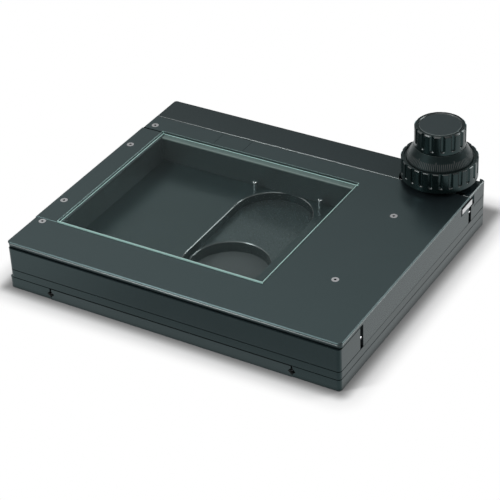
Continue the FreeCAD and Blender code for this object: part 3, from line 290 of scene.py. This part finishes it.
# %% Floor in mirror images
sheen_falls = (-0.24, -0.02)
sheen_front = (-0.16, -0.10)
spot = add(tree, "ShaderNodeSeparateXYZ")
join(tree, place, spot.inputs["Vector"])
before = span(tree, spot.outputs["X"], *sheen_falls, 1.0, 0.55)
sheen = blend(tree, span(tree, spot.outputs["Y"], *sheen_front, 0.0, 1.0), before, 0.9)
ray = add(tree, "ShaderNodeLightPath")
looked_at = math_node(
    tree, "MULTIPLY", away,
    math_node(tree, "MAXIMUM", ray.outputs["Is Camera Ray"],
              ray.outputs["Is Transmission Ray"]))
mirror_of = math_node(tree, "MULTIPLY", near, ray.outputs["Is Glossy Ray"])
white = add(tree, "ShaderNodeEmission")
both = add(tree, "ShaderNodeMixShader")
join(tree, math_node(tree, "MAXIMUM", looked_at, mirror_of), both.inputs[0])
join(tree, shader.outputs["BSDF"], both.inputs[1])
join(tree, blend(tree, ray.outputs["Is Glossy Ray"], 1.0, sheen), white.inputs["Strength"])
join(tree, white.outputs["Emission"], both.inputs[2])
exit_node = next(n for n in tree.nodes if n.type == "OUTPUT_MATERIAL")
join(tree, both.outputs["Shader"], exit_node.inputs["Surface"])
floor_mesh.materials.append(floor_finish)
print("floor finish", floor_finish.name)

# %% [markdown]
# ## The soft panels
# One panel stands to the left front and high up, so that the front edges of the covers and
# the glass catch it. A second one on the right rear lights the right edges. Their strength
# is set together with the world so that the white floor just comes out white.
# %% Lamps


def soft_panel(name, place, target, width, height, watts):
    lamp = bpy.data.lights.new(name, "AREA")
    lamp.shape = "RECTANGLE"
    lamp.size = width
    lamp.size_y = height
    lamp.energy = watts
    panel = bpy.data.objects.new(name, lamp)
    scene.collection.objects.link(panel)
    panel.location = place
    panel.rotation_euler = (Vector(place) - Vector(target)).to_track_quat("Z", "Y").to_euler()


stage_middle = (0.0, 0.04, 0.03)
soft_panel(
    "left_front_panel", (-0.9, -1.15, 1.5), stage_middle, width=0.35, height=0.35, watts=11)
soft_panel(
    "right_rear_panel", (1.3, 1.3, 1.0), stage_middle, width=0.8, height=0.8, watts=10)

# %% [markdown]
# ## Shared effect: skin
# Anodised, moulded and coated surfaces are never quite even. A fine grain breaks up the
# mirror image and a slow blotch changes the gloss from place to place. Both are noise in
# Object coordinates, so the pattern stays put when a slide moves. The group gives out the
# two masks, and each material decides what to do with them.
# %% Group: skin


def new_group(name, inputs, outputs):
    group = bpy.data.node_groups.new(name, "ShaderNodeTree")
    for title, kind, value in inputs:
        socket = group.interface.new_socket(title, in_out="INPUT", socket_type=kind)
        if value is not None:
            socket.default_value = value
    for title, kind in outputs:
        group.interface.new_socket(title, in_out="OUTPUT", socket_type=kind)
    return group, add(group, "NodeGroupInput"), add(group, "NodeGroupOutput")


skin_group, given, result = new_group(
    "skin",
    [("Place", "NodeSocketVector", None), ("Grain Scale", "NodeSocketFloat", 900.0),
     ("Blotch Scale", "NodeSocketFloat", 25.0)],
    [("Grain", "NodeSocketFloat"), ("Blotch", "NodeSocketFloat")])
fine = add(skin_group, "ShaderNodeTexNoise", Detail=3.0, Roughness=0.6)
slow = add(skin_group, "ShaderNodeTexNoise", Detail=4.0, Roughness=0.55)
for node, scale in ((fine, "Grain Scale"), (slow, "Blotch Scale")):
    join(skin_group, given.outputs["Place"], node.inputs["Vector"])
    join(skin_group, given.outputs[scale], node.inputs["Scale"])
join(skin_group, fine.outputs["Fac"], result.inputs["Grain"])
join(skin_group, slow.outputs["Fac"], result.inputs["Blotch"])
print("group", skin_group.name)

# %% [markdown]
# ## Shared effect: edges
# Real edges are broken with a file or a tumbling bath, so each one carries a thin line of
# light. The Bevel node looks at the surface close by and rounds the normal there. Where that
# normal leaves the true one, there is a corner. A machined bevel is wider than that, but it
# can be told by its slope: a face that looks up at half a right angle is nearly always one.
# Only bevels that look up, where the light from above falls, are taken, and the materials
# paint both masks paler: that paler edge is a painted highlight. Each mask has its own
# share, so a cone can leave the second one out. The group also tells level faces from
# upright ones.
# %% Group: edges
edge_group, given, result = new_group(
    "edges",
    [("Radius", "NodeSocketFloat", 0.0004), ("Corner Share", "NodeSocketFloat", 1.0),
     ("Bevel Share", "NodeSocketFloat", 1.0)],
    [("Edge", "NodeSocketFloat"), ("Level", "NodeSocketFloat"),
     ("Normal", "NodeSocketVector")])
rounding = add(edge_group, "ShaderNodeBevel", {"samples": 6})
join(edge_group, given.outputs["Radius"], rounding.inputs["Radius"])
flat = add(edge_group, "ShaderNodeNewGeometry")
agree = add(edge_group, "ShaderNodeVectorMath", {"operation": "DOT_PRODUCT"})
join(edge_group, rounding.outputs["Normal"], agree.inputs[0])
join(edge_group, flat.outputs["Normal"], agree.inputs[1])
corner_starts, corner_full = 0.98, 0.75
mask = add(edge_group, "ShaderNodeMapRange")
mask.inputs["From Min"].default_value = corner_starts
mask.inputs["From Max"].default_value = corner_full
join(edge_group, agree.outputs["Value"], mask.inputs["Value"])
slope = add(edge_group, "ShaderNodeSeparateXYZ")
join(edge_group, flat.outputs["True Normal"], slope.inputs["Vector"])
steep = span(edge_group, slope.outputs["Z"], 0.45, 0.6, 0.0, 1.0)
shallow = span(edge_group, slope.outputs["Z"], 0.8, 0.92, 1.0, 0.0)
bevelled = math_node(
    edge_group, "MULTIPLY", math_node(edge_group, "MULTIPLY", steep, shallow),
    given.outputs["Bevel Share"])
corner = math_node(
    edge_group, "MULTIPLY", mask.outputs["Result"], given.outputs["Corner Share"])
join(edge_group, math_node(edge_group, "MAXIMUM", bevelled, corner), result.inputs["Edge"])
join(edge_group, span(edge_group, slope.outputs["Z"], 0.95, 0.99, 0.0, 1.0),
     result.inputs["Level"])
join(edge_group, rounding.outputs["Normal"], result.inputs["Normal"])
print("group", edge_group.name)

# %% [markdown]
# ## Black anodised metal
# The plates and beams are milled aluminium with a black anodic layer. Under the dye it has
# next to no colour, about half a percent of the light, and a cool tint that sits in its
# gloss. The grain goes into roughness and a very small bump, and the bevels are painted
# paler, a painted highlight. The carriage plate is blasted on its upper face against stray
# light, so its level faces are duller while its front edge has the gloss of the beams. The
# specimen frame and the base plate are painted a little greyer, a painted light that lifts
# their shaded faces: the lip under the cover and the base plate seen through the slot.
# %% Finish: black anodised


def use_group(tree, group, **inputs):
    node = add(tree, "ShaderNodeGroup", {"node_tree": group})
    for key, value in inputs.items():
        node.inputs[key.replace("_", " ")].default_value = value
    return node


def ranged(tree, mask, low, high):
    node = add(tree, "ShaderNodeMapRange")
    node.inputs["From Min"].default_value = 0.25
    node.inputs["From Max"].default_value = 0.75
    node.inputs["To Min"].default_value = low
    node.inputs["To Max"].default_value = high
    join(tree, mask, node.inputs["Value"])
    return node.outputs["Result"]


cool_gloss = (0.62, 0.98, 1.0, 1)


def black_skin(name, dark, pale, edge_colour, edge_metallic, gloss, grain_scale, bump, edge_radius,
               corner_share=0.0, bevel_share=1.0, level_gloss=None, ior=1.5):
    finish, tree, shader, place = new_finish(name, Specular_Tint=cool_gloss, IOR=ior)
    relief_depth = 0.2 * millimetre
    skin = use_group(tree, skin_group, Grain_Scale=grain_scale)
    join(tree, place, skin.inputs["Place"])
    edge = use_group(tree, edge_group, Radius=edge_radius, Corner_Share=corner_share,
                     Bevel_Share=bevel_share)
    body = tone(tree, skin.outputs["Blotch"], dark, pale)
    # The edge colour is a painted highlight on the masked corners and up-facing bevels.
    join(tree, tone(tree, edge.outputs["Edge"], body, edge_colour),
         shader.inputs["Base Color"])
    join(tree, math_node(tree, "MULTIPLY", edge.outputs["Edge"], edge_metallic),
         shader.inputs["Metallic"])
    rough = ranged(tree, skin.outputs["Grain"], *gloss)
    if level_gloss is not None:
        rough = blend(tree, edge.outputs["Level"], rough,
                      ranged(tree, skin.outputs["Grain"], *level_gloss))
    join(tree, rough, shader.inputs["Roughness"])
    relief = add(tree, "ShaderNodeBump", Strength=bump, Distance=relief_depth)
    join(tree, skin.outputs["Grain"], relief.inputs["Height"])
    join(tree, edge.outputs["Normal"], relief.inputs["Normal"])
    join(tree, relief.outputs["Normal"], shader.inputs["Normal"])
    return finish


anodised_grain = {
    "grain_scale": 1800.0, "bump": 0.012, "edge_radius": 0.05 * millimetre}
dyed_dark, dyed_pale = (0.004, 0.007, 0.008), (0.007, 0.011, 0.013)
# Pale edge colour: a painted highlight on corners and up-facing bevels.
edge_highlight_tone = (0.12, 0.125, 0.125)
black_anodised = black_skin(
    "black_anodised", dyed_dark, dyed_pale, edge_highlight_tone, edge_metallic=0.6, gloss=(0.18, 0.24),
    **anodised_grain)
matt_anodised = black_skin(
    "matt_anodised", dyed_dark, dyed_pale, (0.15, 0.155, 0.155), edge_metallic=0.5,
    gloss=(0.18, 0.24), level_gloss=(0.27, 0.30), **anodised_grain)
# A lighter copy of the anodised finish, painted light for shaded faces.
lightened_anodised = black_skin(
    "lightened_anodised", (0.018, 0.023, 0.024), (0.024, 0.029, 0.031), edge_highlight_tone, edge_metallic=0.6,
    gloss=(0.24, 0.32), **anodised_grain)
print("finishes", black_anodised.name, matt_anodised.name, lightened_anodised.name)

# %% [markdown]
# ## The thin covers
# The sheets on top are coated a little coarser than the anodised plates. The same recipe
# serves, with a larger grain and a softer gloss, so that the reflection of the knob on the
# cover stays a dark haze. The rear cover shows no such haze: it gets the anodised finish.
# %% Finish: black cover
# Its bevels get a paler colour too, a painted highlight.
black_cover = black_skin(
    "black_cover", (0.005, 0.008, 0.009), (0.008, 0.011, 0.013), (0.075, 0.075, 0.075),
    edge_metallic=0.85, gloss=(0.28, 0.36), grain_scale=520.0, bump=0.15,
    edge_radius=0.1 * millimetre, bevel_share=0.3, ior=1.7)
print("finish", black_cover.name)

# %% [markdown]
# ## Moulded knob plastic
# The knobs and the cap are moulded from a black plastic with a spark-eroded grain. It is
# coarser than anodising and breaks highlights into a fine sparkle. The edges of the flutes
# and rims are painted paler, a painted highlight. The cap that closes the upper knob has a
# finer, duller grain, so it reads as a grey disc in a glossy ring.
# %% Finish: knob and dial plastic
# The edge colours below are painted highlights on the flutes, rims and dial edges.
knob_plastic = black_skin(
    "knob_plastic", (0.002, 0.004, 0.004), (0.004, 0.007, 0.007), (0.09, 0.095, 0.095),
    edge_metallic=0.8, gloss=(0.18, 0.3), grain_scale=1100.0, bump=0.3,
    edge_radius=0.4 * millimetre, corner_share=0.3)
cap_plastic = black_skin(
    "cap_plastic", (0.017, 0.021, 0.023), (0.023, 0.027, 0.029), (0.2, 0.22, 0.22),
    edge_metallic=0.2, gloss=(0.42, 0.52), grain_scale=1500.0, bump=0.3,
    edge_radius=0.3 * millimetre, corner_share=0.5)
dial_plastic = black_skin(
    "dial_plastic", (0.007, 0.010, 0.010), (0.010, 0.014, 0.014), (0.3, 0.32, 0.32),
    edge_metallic=0.3, gloss=(0.26, 0.36), grain_scale=900.0, bump=0.1,
    edge_radius=0.3 * millimetre, corner_share=0.8, bevel_share=0.0)
print("finishes", knob_plastic.name, cap_plastic.name, dial_plastic.name)

# %% [markdown]
# ## Metals
# A metal has no body colour of its own, only a tinted mirror, so Metallic is 1 and the work
# is in the roughness. Grinding leaves fine scratches in one direction: noise that is
# squeezed hard across and stretched along gives them, in the roughness and in the bump.
# The two posts under the glass have turned, rounded heads: the Bevel node with a wide
# radius bends the light over their rims as a real turned head does. The sockets of the
# cover screws get a painted shade: that finish turns nearly black below a given height.
# %% Finish: metals


def worked_metal(name, dark, pale, gloss, stretch, bump, rounding=None, shaded_below=None):
    finish, tree, shader, place = new_finish(name, Metallic=1.0)
    scratch_depth = 0.05 * millimetre
    shade_fades_over = 0.2 * millimetre
    squeeze = add(tree, "ShaderNodeMapping")
    squeeze.inputs["Scale"].default_value = stretch
    join(tree, place, squeeze.inputs["Vector"])
    marks = add(tree, "ShaderNodeTexNoise", Scale=1.0, Detail=4.0, Roughness=0.7)
    join(tree, squeeze.outputs["Vector"], marks.inputs["Vector"])
    skin = use_group(tree, skin_group, Grain_Scale=400.0, Blotch_Scale=60.0)
    join(tree, place, skin.inputs["Place"])
    body = tone(tree, skin.outputs["Blotch"], dark, pale)
    if shaded_below is not None:
        depth = add(tree, "ShaderNodeSeparateXYZ")
        join(tree, place, depth.inputs["Vector"])
        unshaded = span(
            tree, depth.outputs["Z"], shaded_below - shade_fades_over, shaded_below, 0.0, 1.0)
        # Painted shade: nearly black below the given height, in the sockets.
        body = tone(tree, unshaded, (0.012, 0.013, 0.014), body)
    join(tree, body, shader.inputs["Base Color"])
    join(tree, ranged(tree, marks.outputs["Fac"], *gloss), shader.inputs["Roughness"])
    relief = add(tree, "ShaderNodeBump", Strength=bump, Distance=scratch_depth)
    join(tree, marks.outputs["Fac"], relief.inputs["Height"])
    if rounding is not None:
        edge = use_group(tree, edge_group, Radius=rounding)
        join(tree, edge.outputs["Normal"], relief.inputs["Normal"])
    join(tree, relief.outputs["Normal"], shader.inputs["Normal"])
    return finish


along_x = (60, 4000, 4000)
all_ways = (1500, 1500, 1500)
ground_steel = worked_metal(
    "ground_steel", (0.62, 0.63, 0.64), (0.75, 0.76, 0.77),
    gloss=(0.18, 0.34), stretch=along_x, bump=0.3)
screw_steel = worked_metal(
    "screw_steel", (0.6, 0.61, 0.62), (0.7, 0.71, 0.72),
    gloss=(0.12, 0.26), stretch=all_ways, bump=0.1)
dark_screw = worked_metal(
    "dark_screw", (0.34, 0.35, 0.36), (0.44, 0.45, 0.46),
    gloss=(0.25, 0.4), stretch=all_ways, bump=0.2)
screw_top = max(corner.co.z for corner in nodes["cover_screws"].data.vertices)
cover_screw = worked_metal(
    "cover_screw", (0.46, 0.47, 0.48), (0.56, 0.57, 0.58),
    gloss=(0.25, 0.4), stretch=all_ways, bump=0.2,
    shaded_below=screw_top - 0.3 * millimetre)
bright_steel = worked_metal(
    "bright_steel", (0.9, 0.91, 0.92), (0.96, 0.96, 0.97),
    gloss=(0.08, 0.16), stretch=all_ways, bump=0.05, rounding=1.8 * millimetre)
blued_steel = worked_metal(
    "blued_steel", (0.03, 0.032, 0.035), (0.05, 0.052, 0.055),
    gloss=(0.3, 0.4), stretch=all_ways, bump=0.1)
bearing_brass = worked_metal(
    "bearing_brass", (0.62, 0.46, 0.2), (0.75, 0.58, 0.28),
    gloss=(0.2, 0.35), stretch=all_ways, bump=0.15)
cage_brass = worked_metal(
    "cage_brass", (0.66, 0.5, 0.22), (0.78, 0.62, 0.32),
    gloss=(0.24, 0.38), stretch=along_x, bump=0.15)
print("metals", [m.name for m in (ground_steel, screw_steel, dark_screw)])

# %% [markdown]
# ## The strip under the glass
# A grey-green rubber strip carries the rear edge of the glass. Rubber is matt and takes no
# clear mirror image, so its own colour does the work, and only its front edge is painted
# paler, a painted highlight.
# %% Finish: seat rubber
seat_rubber, tree, shader, place = new_finish("seat_rubber", Roughness=0.6)
skin = use_group(tree, skin_group, Grain_Scale=900.0, Blotch_Scale=40.0)
join(tree, place, skin.inputs["Place"])
edge = use_group(tree, edge_group, Radius=0.4 * millimetre)
body = tone(tree, skin.outputs["Blotch"], (0.085, 0.125, 0.12), (0.105, 0.15, 0.14))
# The paler edge colour is a painted highlight.
join(tree, tone(tree, edge.outputs["Edge"], body, (0.17, 0.21, 0.2)),
     shader.inputs["Base Color"])
join(tree, ranged(tree, skin.outputs["Grain"], 0.5, 0.7), shader.inputs["Roughness"])
print("finish", seat_rubber.name)

# %% [markdown]
# ## Every node gets its finish
# The record names a material slot for each node, so one table from slot to material dresses
# the whole model and no node can be forgotten. A second table names the few nodes whose
# surface differs from that of their slot.
# %% Dress the nodes
finish_of_slot = {
    "black_anodised": black_anodised, "black_cover": black_cover,
    "knob_plastic": knob_plastic, "dial_plastic": dial_plastic,
    "ground_steel": ground_steel, "seat_rubber": seat_rubber,
    "screw_steel": screw_steel, "dark_screw": dark_screw,
    "bearing_brass": bearing_brass, "cage_brass": cage_brass}
slot_of_node = {part["node"]: part["material_slot"] for part in frame["record"]["subparts"]}
for name, node in nodes.items():
    finish = finish_of_slot.get(slot_of_node[name])
    if finish is not None:
        node.data.materials.clear()
        node.data.materials.append(finish)
finish_of_node = {
    "knob_cap": cap_plastic, "carriage_plate": matt_anodised,
    "specimen_frame": lightened_anodised, "base_plate": lightened_anodised,
    "rear_cover": black_anodised, "cover_screws": cover_screw,
    "stop_posts": bright_steel, "y_cage_stop_pins": blued_steel}
for name, finish in finish_of_node.items():
    nodes[name].data.materials[0] = finish
print("dressed", sum(1 for s in slot_of_node.values() if s in finish_of_slot))

# %% [markdown]
# ## The glass plate
# Seen from above the glass is clear, but its ground edges are the brightest thing in the
# picture, because light that runs inside the plate leaves there and takes on the green of
# the iron in it. A plain box would show neither, so the plate is rebuilt with a small
# bevel, and the faces are sorted: the level ones and the left, right and rear edges get the
# clear glass, the front edge and all bevels the pale green ground finish. On the front edge
# and the bevels, which face the light, that pale green is their ground finish and also a
# painted highlight, while the left, right and rear edges are left clear and show dark.
# In the picture the plate mirrors next to nothing and lies over the inside like a faint
# even veil. Real glass has an index of 1.5. Here the index is only just above 1, and a very
# weak emission gives the veil, without the grain that a rare bright mirror ray leaves.
# Light has to reach what lies below, and shadow rays stop at a refracting face. So the
# alpha is lowered for the rays that carry light to and from the inside, and only the eye's
# own rays are bent. A ray that is bent counts as glossy too, so that case is taken out
# again.
# %% Finish: glass
weak_index = 1.02
veil_colour, veil_strength = (0.8, 1.0, 1.0, 1.0), 0.008
glass_clear, tree, shader, place = new_finish(
    "polished_glass", Roughness=0.0, IOR=weak_index, Transmission_Weight=1.0)
shader.inputs["Specular IOR Level"].default_value = 0.0
shader.inputs["Specular Tint"].default_value = cool_gloss
shader.inputs["Emission Color"].default_value = veil_colour
shader.inputs["Emission Strength"].default_value = veil_strength
light_path = add(tree, "ShaderNodeLightPath")
mirrored_ray = math_node(
    tree, "SUBTRACT", light_path.outputs["Is Glossy Ray"],
    light_path.outputs["Is Transmission Ray"])
lit_through = math_node(
    tree, "MAXIMUM", light_path.outputs["Is Shadow Ray"],
    math_node(tree, "MAXIMUM", light_path.outputs["Is Diffuse Ray"], mirrored_ray))
join(tree, math_node(tree, "SUBTRACT", 1.0, lit_through), shader.inputs["Alpha"])
skin = use_group(tree, skin_group, Grain_Scale=300.0, Blotch_Scale=9.0)
join(tree, place, skin.inputs["Place"])
join(tree, tone(tree, skin.outputs["Blotch"], (0.9, 0.97, 0.96), (0.93, 0.985, 0.975)),
     shader.inputs["Base Color"])

glass_ground, tree, shader, place = new_finish(
    "ground_glass_edge", IOR=1.5, Transmission_Weight=0.2)
skin = use_group(tree, skin_group, Grain_Scale=1500.0, Blotch_Scale=120.0)
join(tree, place, skin.inputs["Place"])
join(tree, tone(tree, skin.outputs["Blotch"], (0.5, 0.8, 0.75), (0.6, 0.88, 0.82)),
     shader.inputs["Base Color"])
join(tree, ranged(tree, skin.outputs["Grain"], 0.3, 0.5), shader.inputs["Roughness"])
print("finishes", glass_clear.name, glass_ground.name)

# %% Glass plate
import bmesh


def bevelled_plate(name, low, high, bevel):
    shape = bmesh.new()
    corners = [
        shape.verts.new((x, y, z))
        for z in (low.z, high.z) for y in (low.y, high.y) for x in (low.x, high.x)]
    for ring in ((0, 2, 3, 1), (4, 5, 7, 6), (0, 1, 5, 4), (1, 3, 7, 5), (3, 2, 6, 7),
                 (2, 0, 4, 6)):
        shape.faces.new([corners[i] for i in ring])
    bmesh.ops.bevel(
        shape, geom=list(shape.edges), offset=bevel, segments=2, profile=0.5,
        affect="EDGES")
    bmesh.ops.recalc_face_normals(shape, faces=list(shape.faces))
    mesh = bpy.data.meshes.new(name)
    shape.to_mesh(mesh)
    shape.free()
    piece = bpy.data.objects.new(name, mesh)
    scene.collection.objects.link(piece)
    return piece


glass_low, glass_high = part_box("glass_plate")
glass_bevel = 0.5 * millimetre
glass = bevelled_plate("specimen_glass", glass_low, glass_high, glass_bevel)
glass.data.materials.append(glass_clear)
glass.data.materials.append(glass_ground)
# The front edge and bevels get the pale ground finish as a painted highlight; the other edges
# stay clear.
for face in glass.data.polygons:
    side_or_rear = abs(face.normal.x) > 0.95 or face.normal.y > 0.95
    kept_clear = abs(face.normal.z) > 0.99 or side_or_rear
    face.material_index = 0 if kept_clear else 1
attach(glass, "x_carriage")
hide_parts("glass_plate")
print("glass", tuple(round(v, 4) for v in glass_high - glass_low))

# %% [markdown]
# ## Marks round the dial
# The cone under the upper knob carries a hundred printed lines, every tenth one longer.
# Drawing one line and repeating it is exactly what Geometry Nodes are for: a circle of
# points, a thin block on each, turned to the axis and laid on the slope of the cone.
# %% Geometry Nodes tree for the marks


def marks_tree(name):
    group = bpy.data.node_groups.new(name, "GeometryNodeTree")
    for title, kind, value in (
            ("Count", "NodeSocketInt", 90), ("Ring Radius", "NodeSocketFloat", 0.036),
            ("Height", "NodeSocketFloat", 0.082), ("Slope", "NodeSocketFloat", 0.6),
            ("First Turn", "NodeSocketFloat", 0.0), ("Length", "NodeSocketFloat", 0.003),
            ("Width", "NodeSocketFloat", 0.0004), ("Depth", "NodeSocketFloat", 0.0002),
            ("Finish", "NodeSocketMaterial", None)):
        socket = group.interface.new_socket(title, in_out="INPUT", socket_type=kind)
        if value is not None:
            socket.default_value = value
    group.interface.new_socket("Geometry", in_out="OUTPUT", socket_type="NodeSocketGeometry")
    given = add(group, "NodeGroupInput")
    result = add(group, "NodeGroupOutput")
    size = add(group, "ShaderNodeCombineXYZ")
    for axis, title in (("X", "Length"), ("Y", "Width"), ("Z", "Depth")):
        join(group, given.outputs[title], size.inputs[axis])
    block = add(group, "GeometryNodeMeshCube")
    join(group, size.outputs["Vector"], block.inputs["Size"])
    points = add(group, "GeometryNodePoints")
    join(group, given.outputs["Count"], points.inputs["Count"])
    number = add(group, "GeometryNodeInputIndex")
    share = add(group, "ShaderNodeMath", {"operation": "DIVIDE"})
    join(group, number.outputs[0], share.inputs[0])
    join(group, given.outputs["Count"], share.inputs[1])
    turn = add(group, "ShaderNodeMath", {"operation": "MULTIPLY_ADD"})
    join(group, share.outputs[0], turn.inputs[0])
    turn.inputs[1].default_value = math.tau
    join(group, given.outputs["First Turn"], turn.inputs[2])
    cosine = add(group, "ShaderNodeMath", {"operation": "COSINE"})
    sine = add(group, "ShaderNodeMath", {"operation": "SINE"})
    place = add(group, "ShaderNodeCombineXYZ")
    for wave, axis in ((cosine, "X"), (sine, "Y")):
        join(group, turn.outputs[0], wave.inputs[0])
        reach = add(group, "ShaderNodeMath", {"operation": "MULTIPLY"})
        join(group, wave.outputs[0], reach.inputs[0])
        join(group, given.outputs["Ring Radius"], reach.inputs[1])
        join(group, reach.outputs[0], place.inputs[axis])
    join(group, given.outputs["Height"], place.inputs["Z"])
    join(group, place.outputs["Vector"], points.inputs["Position"])
    way = add(group, "ShaderNodeCombineXYZ")
    join(group, given.outputs["Slope"], way.inputs["Y"])
    join(group, turn.outputs[0], way.inputs["Z"])
    spin = add(group, "FunctionNodeEulerToRotation")
    join(group, way.outputs["Vector"], spin.inputs[0])
    copies = add(group, "GeometryNodeInstanceOnPoints")
    join(group, points.outputs[0], copies.inputs["Points"])
    join(group, block.outputs["Mesh"], copies.inputs["Instance"])
    join(group, spin.outputs[0], copies.inputs["Rotation"])
    real = add(group, "GeometryNodeRealizeInstances")
    join(group, copies.outputs["Instances"], real.inputs[0])
    paint = add(group, "GeometryNodeSetMaterial")
    join(group, real.outputs[0], paint.inputs["Geometry"])
    join(group, given.outputs["Finish"], paint.inputs["Material"])
    join(group, paint.outputs[0], result.inputs["Geometry"])
    return group


dial_marks_tree = marks_tree("ring_of_marks")
print("tree", dial_marks_tree.name, len(dial_marks_tree.nodes), "nodes")

# %% [markdown]
# A tree does nothing until a modifier runs it. The modifier keeps its inputs under the
# identifier of each socket, not under the title, so the helper looks that up. Afterwards
# the evaluated result is turned into a plain mesh, as the exported model knows no
# modifiers, and the mesh is moved to the knob's axis.
# %% Bake a tree to a mesh


def baked(name, group, place, **inputs):
    holder = bpy.data.objects.new(name + "_maker", bpy.data.meshes.new(name + "_maker"))
    scene.collection.objects.link(holder)
    modifier = holder.modifiers.new("maker", "NODES")
    modifier.node_group = group
    sockets = {s.name: s.identifier for s in group.interface.items_tree if s.in_out == "INPUT"}
    for key, value in inputs.items():
        modifier[sockets[key.replace("_", " ")]] = value
    bpy.context.view_layer.update()
    seen = holder.evaluated_get(bpy.context.evaluated_depsgraph_get())
    mesh = bpy.data.meshes.new_from_object(seen)
    bpy.data.objects.remove(holder)
    mesh.name = name
    mesh.transform(Matrix.Translation(place))
    piece = bpy.data.objects.new(name, mesh)
    scene.collection.objects.link(piece)
    return piece


mark_paint, tree, shader, place = new_finish("dial_mark_paint", Roughness=0.5)
skin = use_group(tree, skin_group, Grain_Scale=2000.0, Blotch_Scale=200.0)
join(tree, place, skin.inputs["Place"])
join(tree, tone(tree, skin.outputs["Blotch"], (0.07, 0.08, 0.08), (0.12, 0.13, 0.13)),
     shader.inputs["Base Color"])

cone_low, cone_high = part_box("dial_cone")
axis_place = (cone_low + cone_high) / 2
axis_place.z = 0
cone_radius = (cone_high.x - cone_low.x) / 2
cone_edge = 1.0 * millimetre
cone_top_radius = 27.0 * millimetre
mark_start = 1.0 * millimetre
mark_depth = 0.12 * millimetre
cone_slope = math.atan2(cone_high.z - cone_low.z - cone_edge, cone_radius - cone_top_radius)
print("cone", cone_radius, "slope", math.degrees(cone_slope))


def dial_marks(name, count, length, width):
    middle = mark_start + length / 2
    ring = cone_radius - middle * math.cos(cone_slope)
    height = cone_low.z + cone_edge + middle * math.sin(cone_slope)
    piece = baked(
        name, dial_marks_tree, axis_place, Count=count, Ring_Radius=ring, Height=height,
        Slope=cone_slope, Length=length, Width=width, Depth=mark_depth,
        Finish=mark_paint)
    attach(piece, "y_knob")
    return piece


short_marks = dial_marks("dial_short_marks", 100, 7.0 * millimetre, 0.45 * millimetre)
long_marks = dial_marks("dial_long_marks", 10, 9.0 * millimetre, 0.55 * millimetre)
print("marks", len(short_marks.data.polygons), len(long_marks.data.polygons))
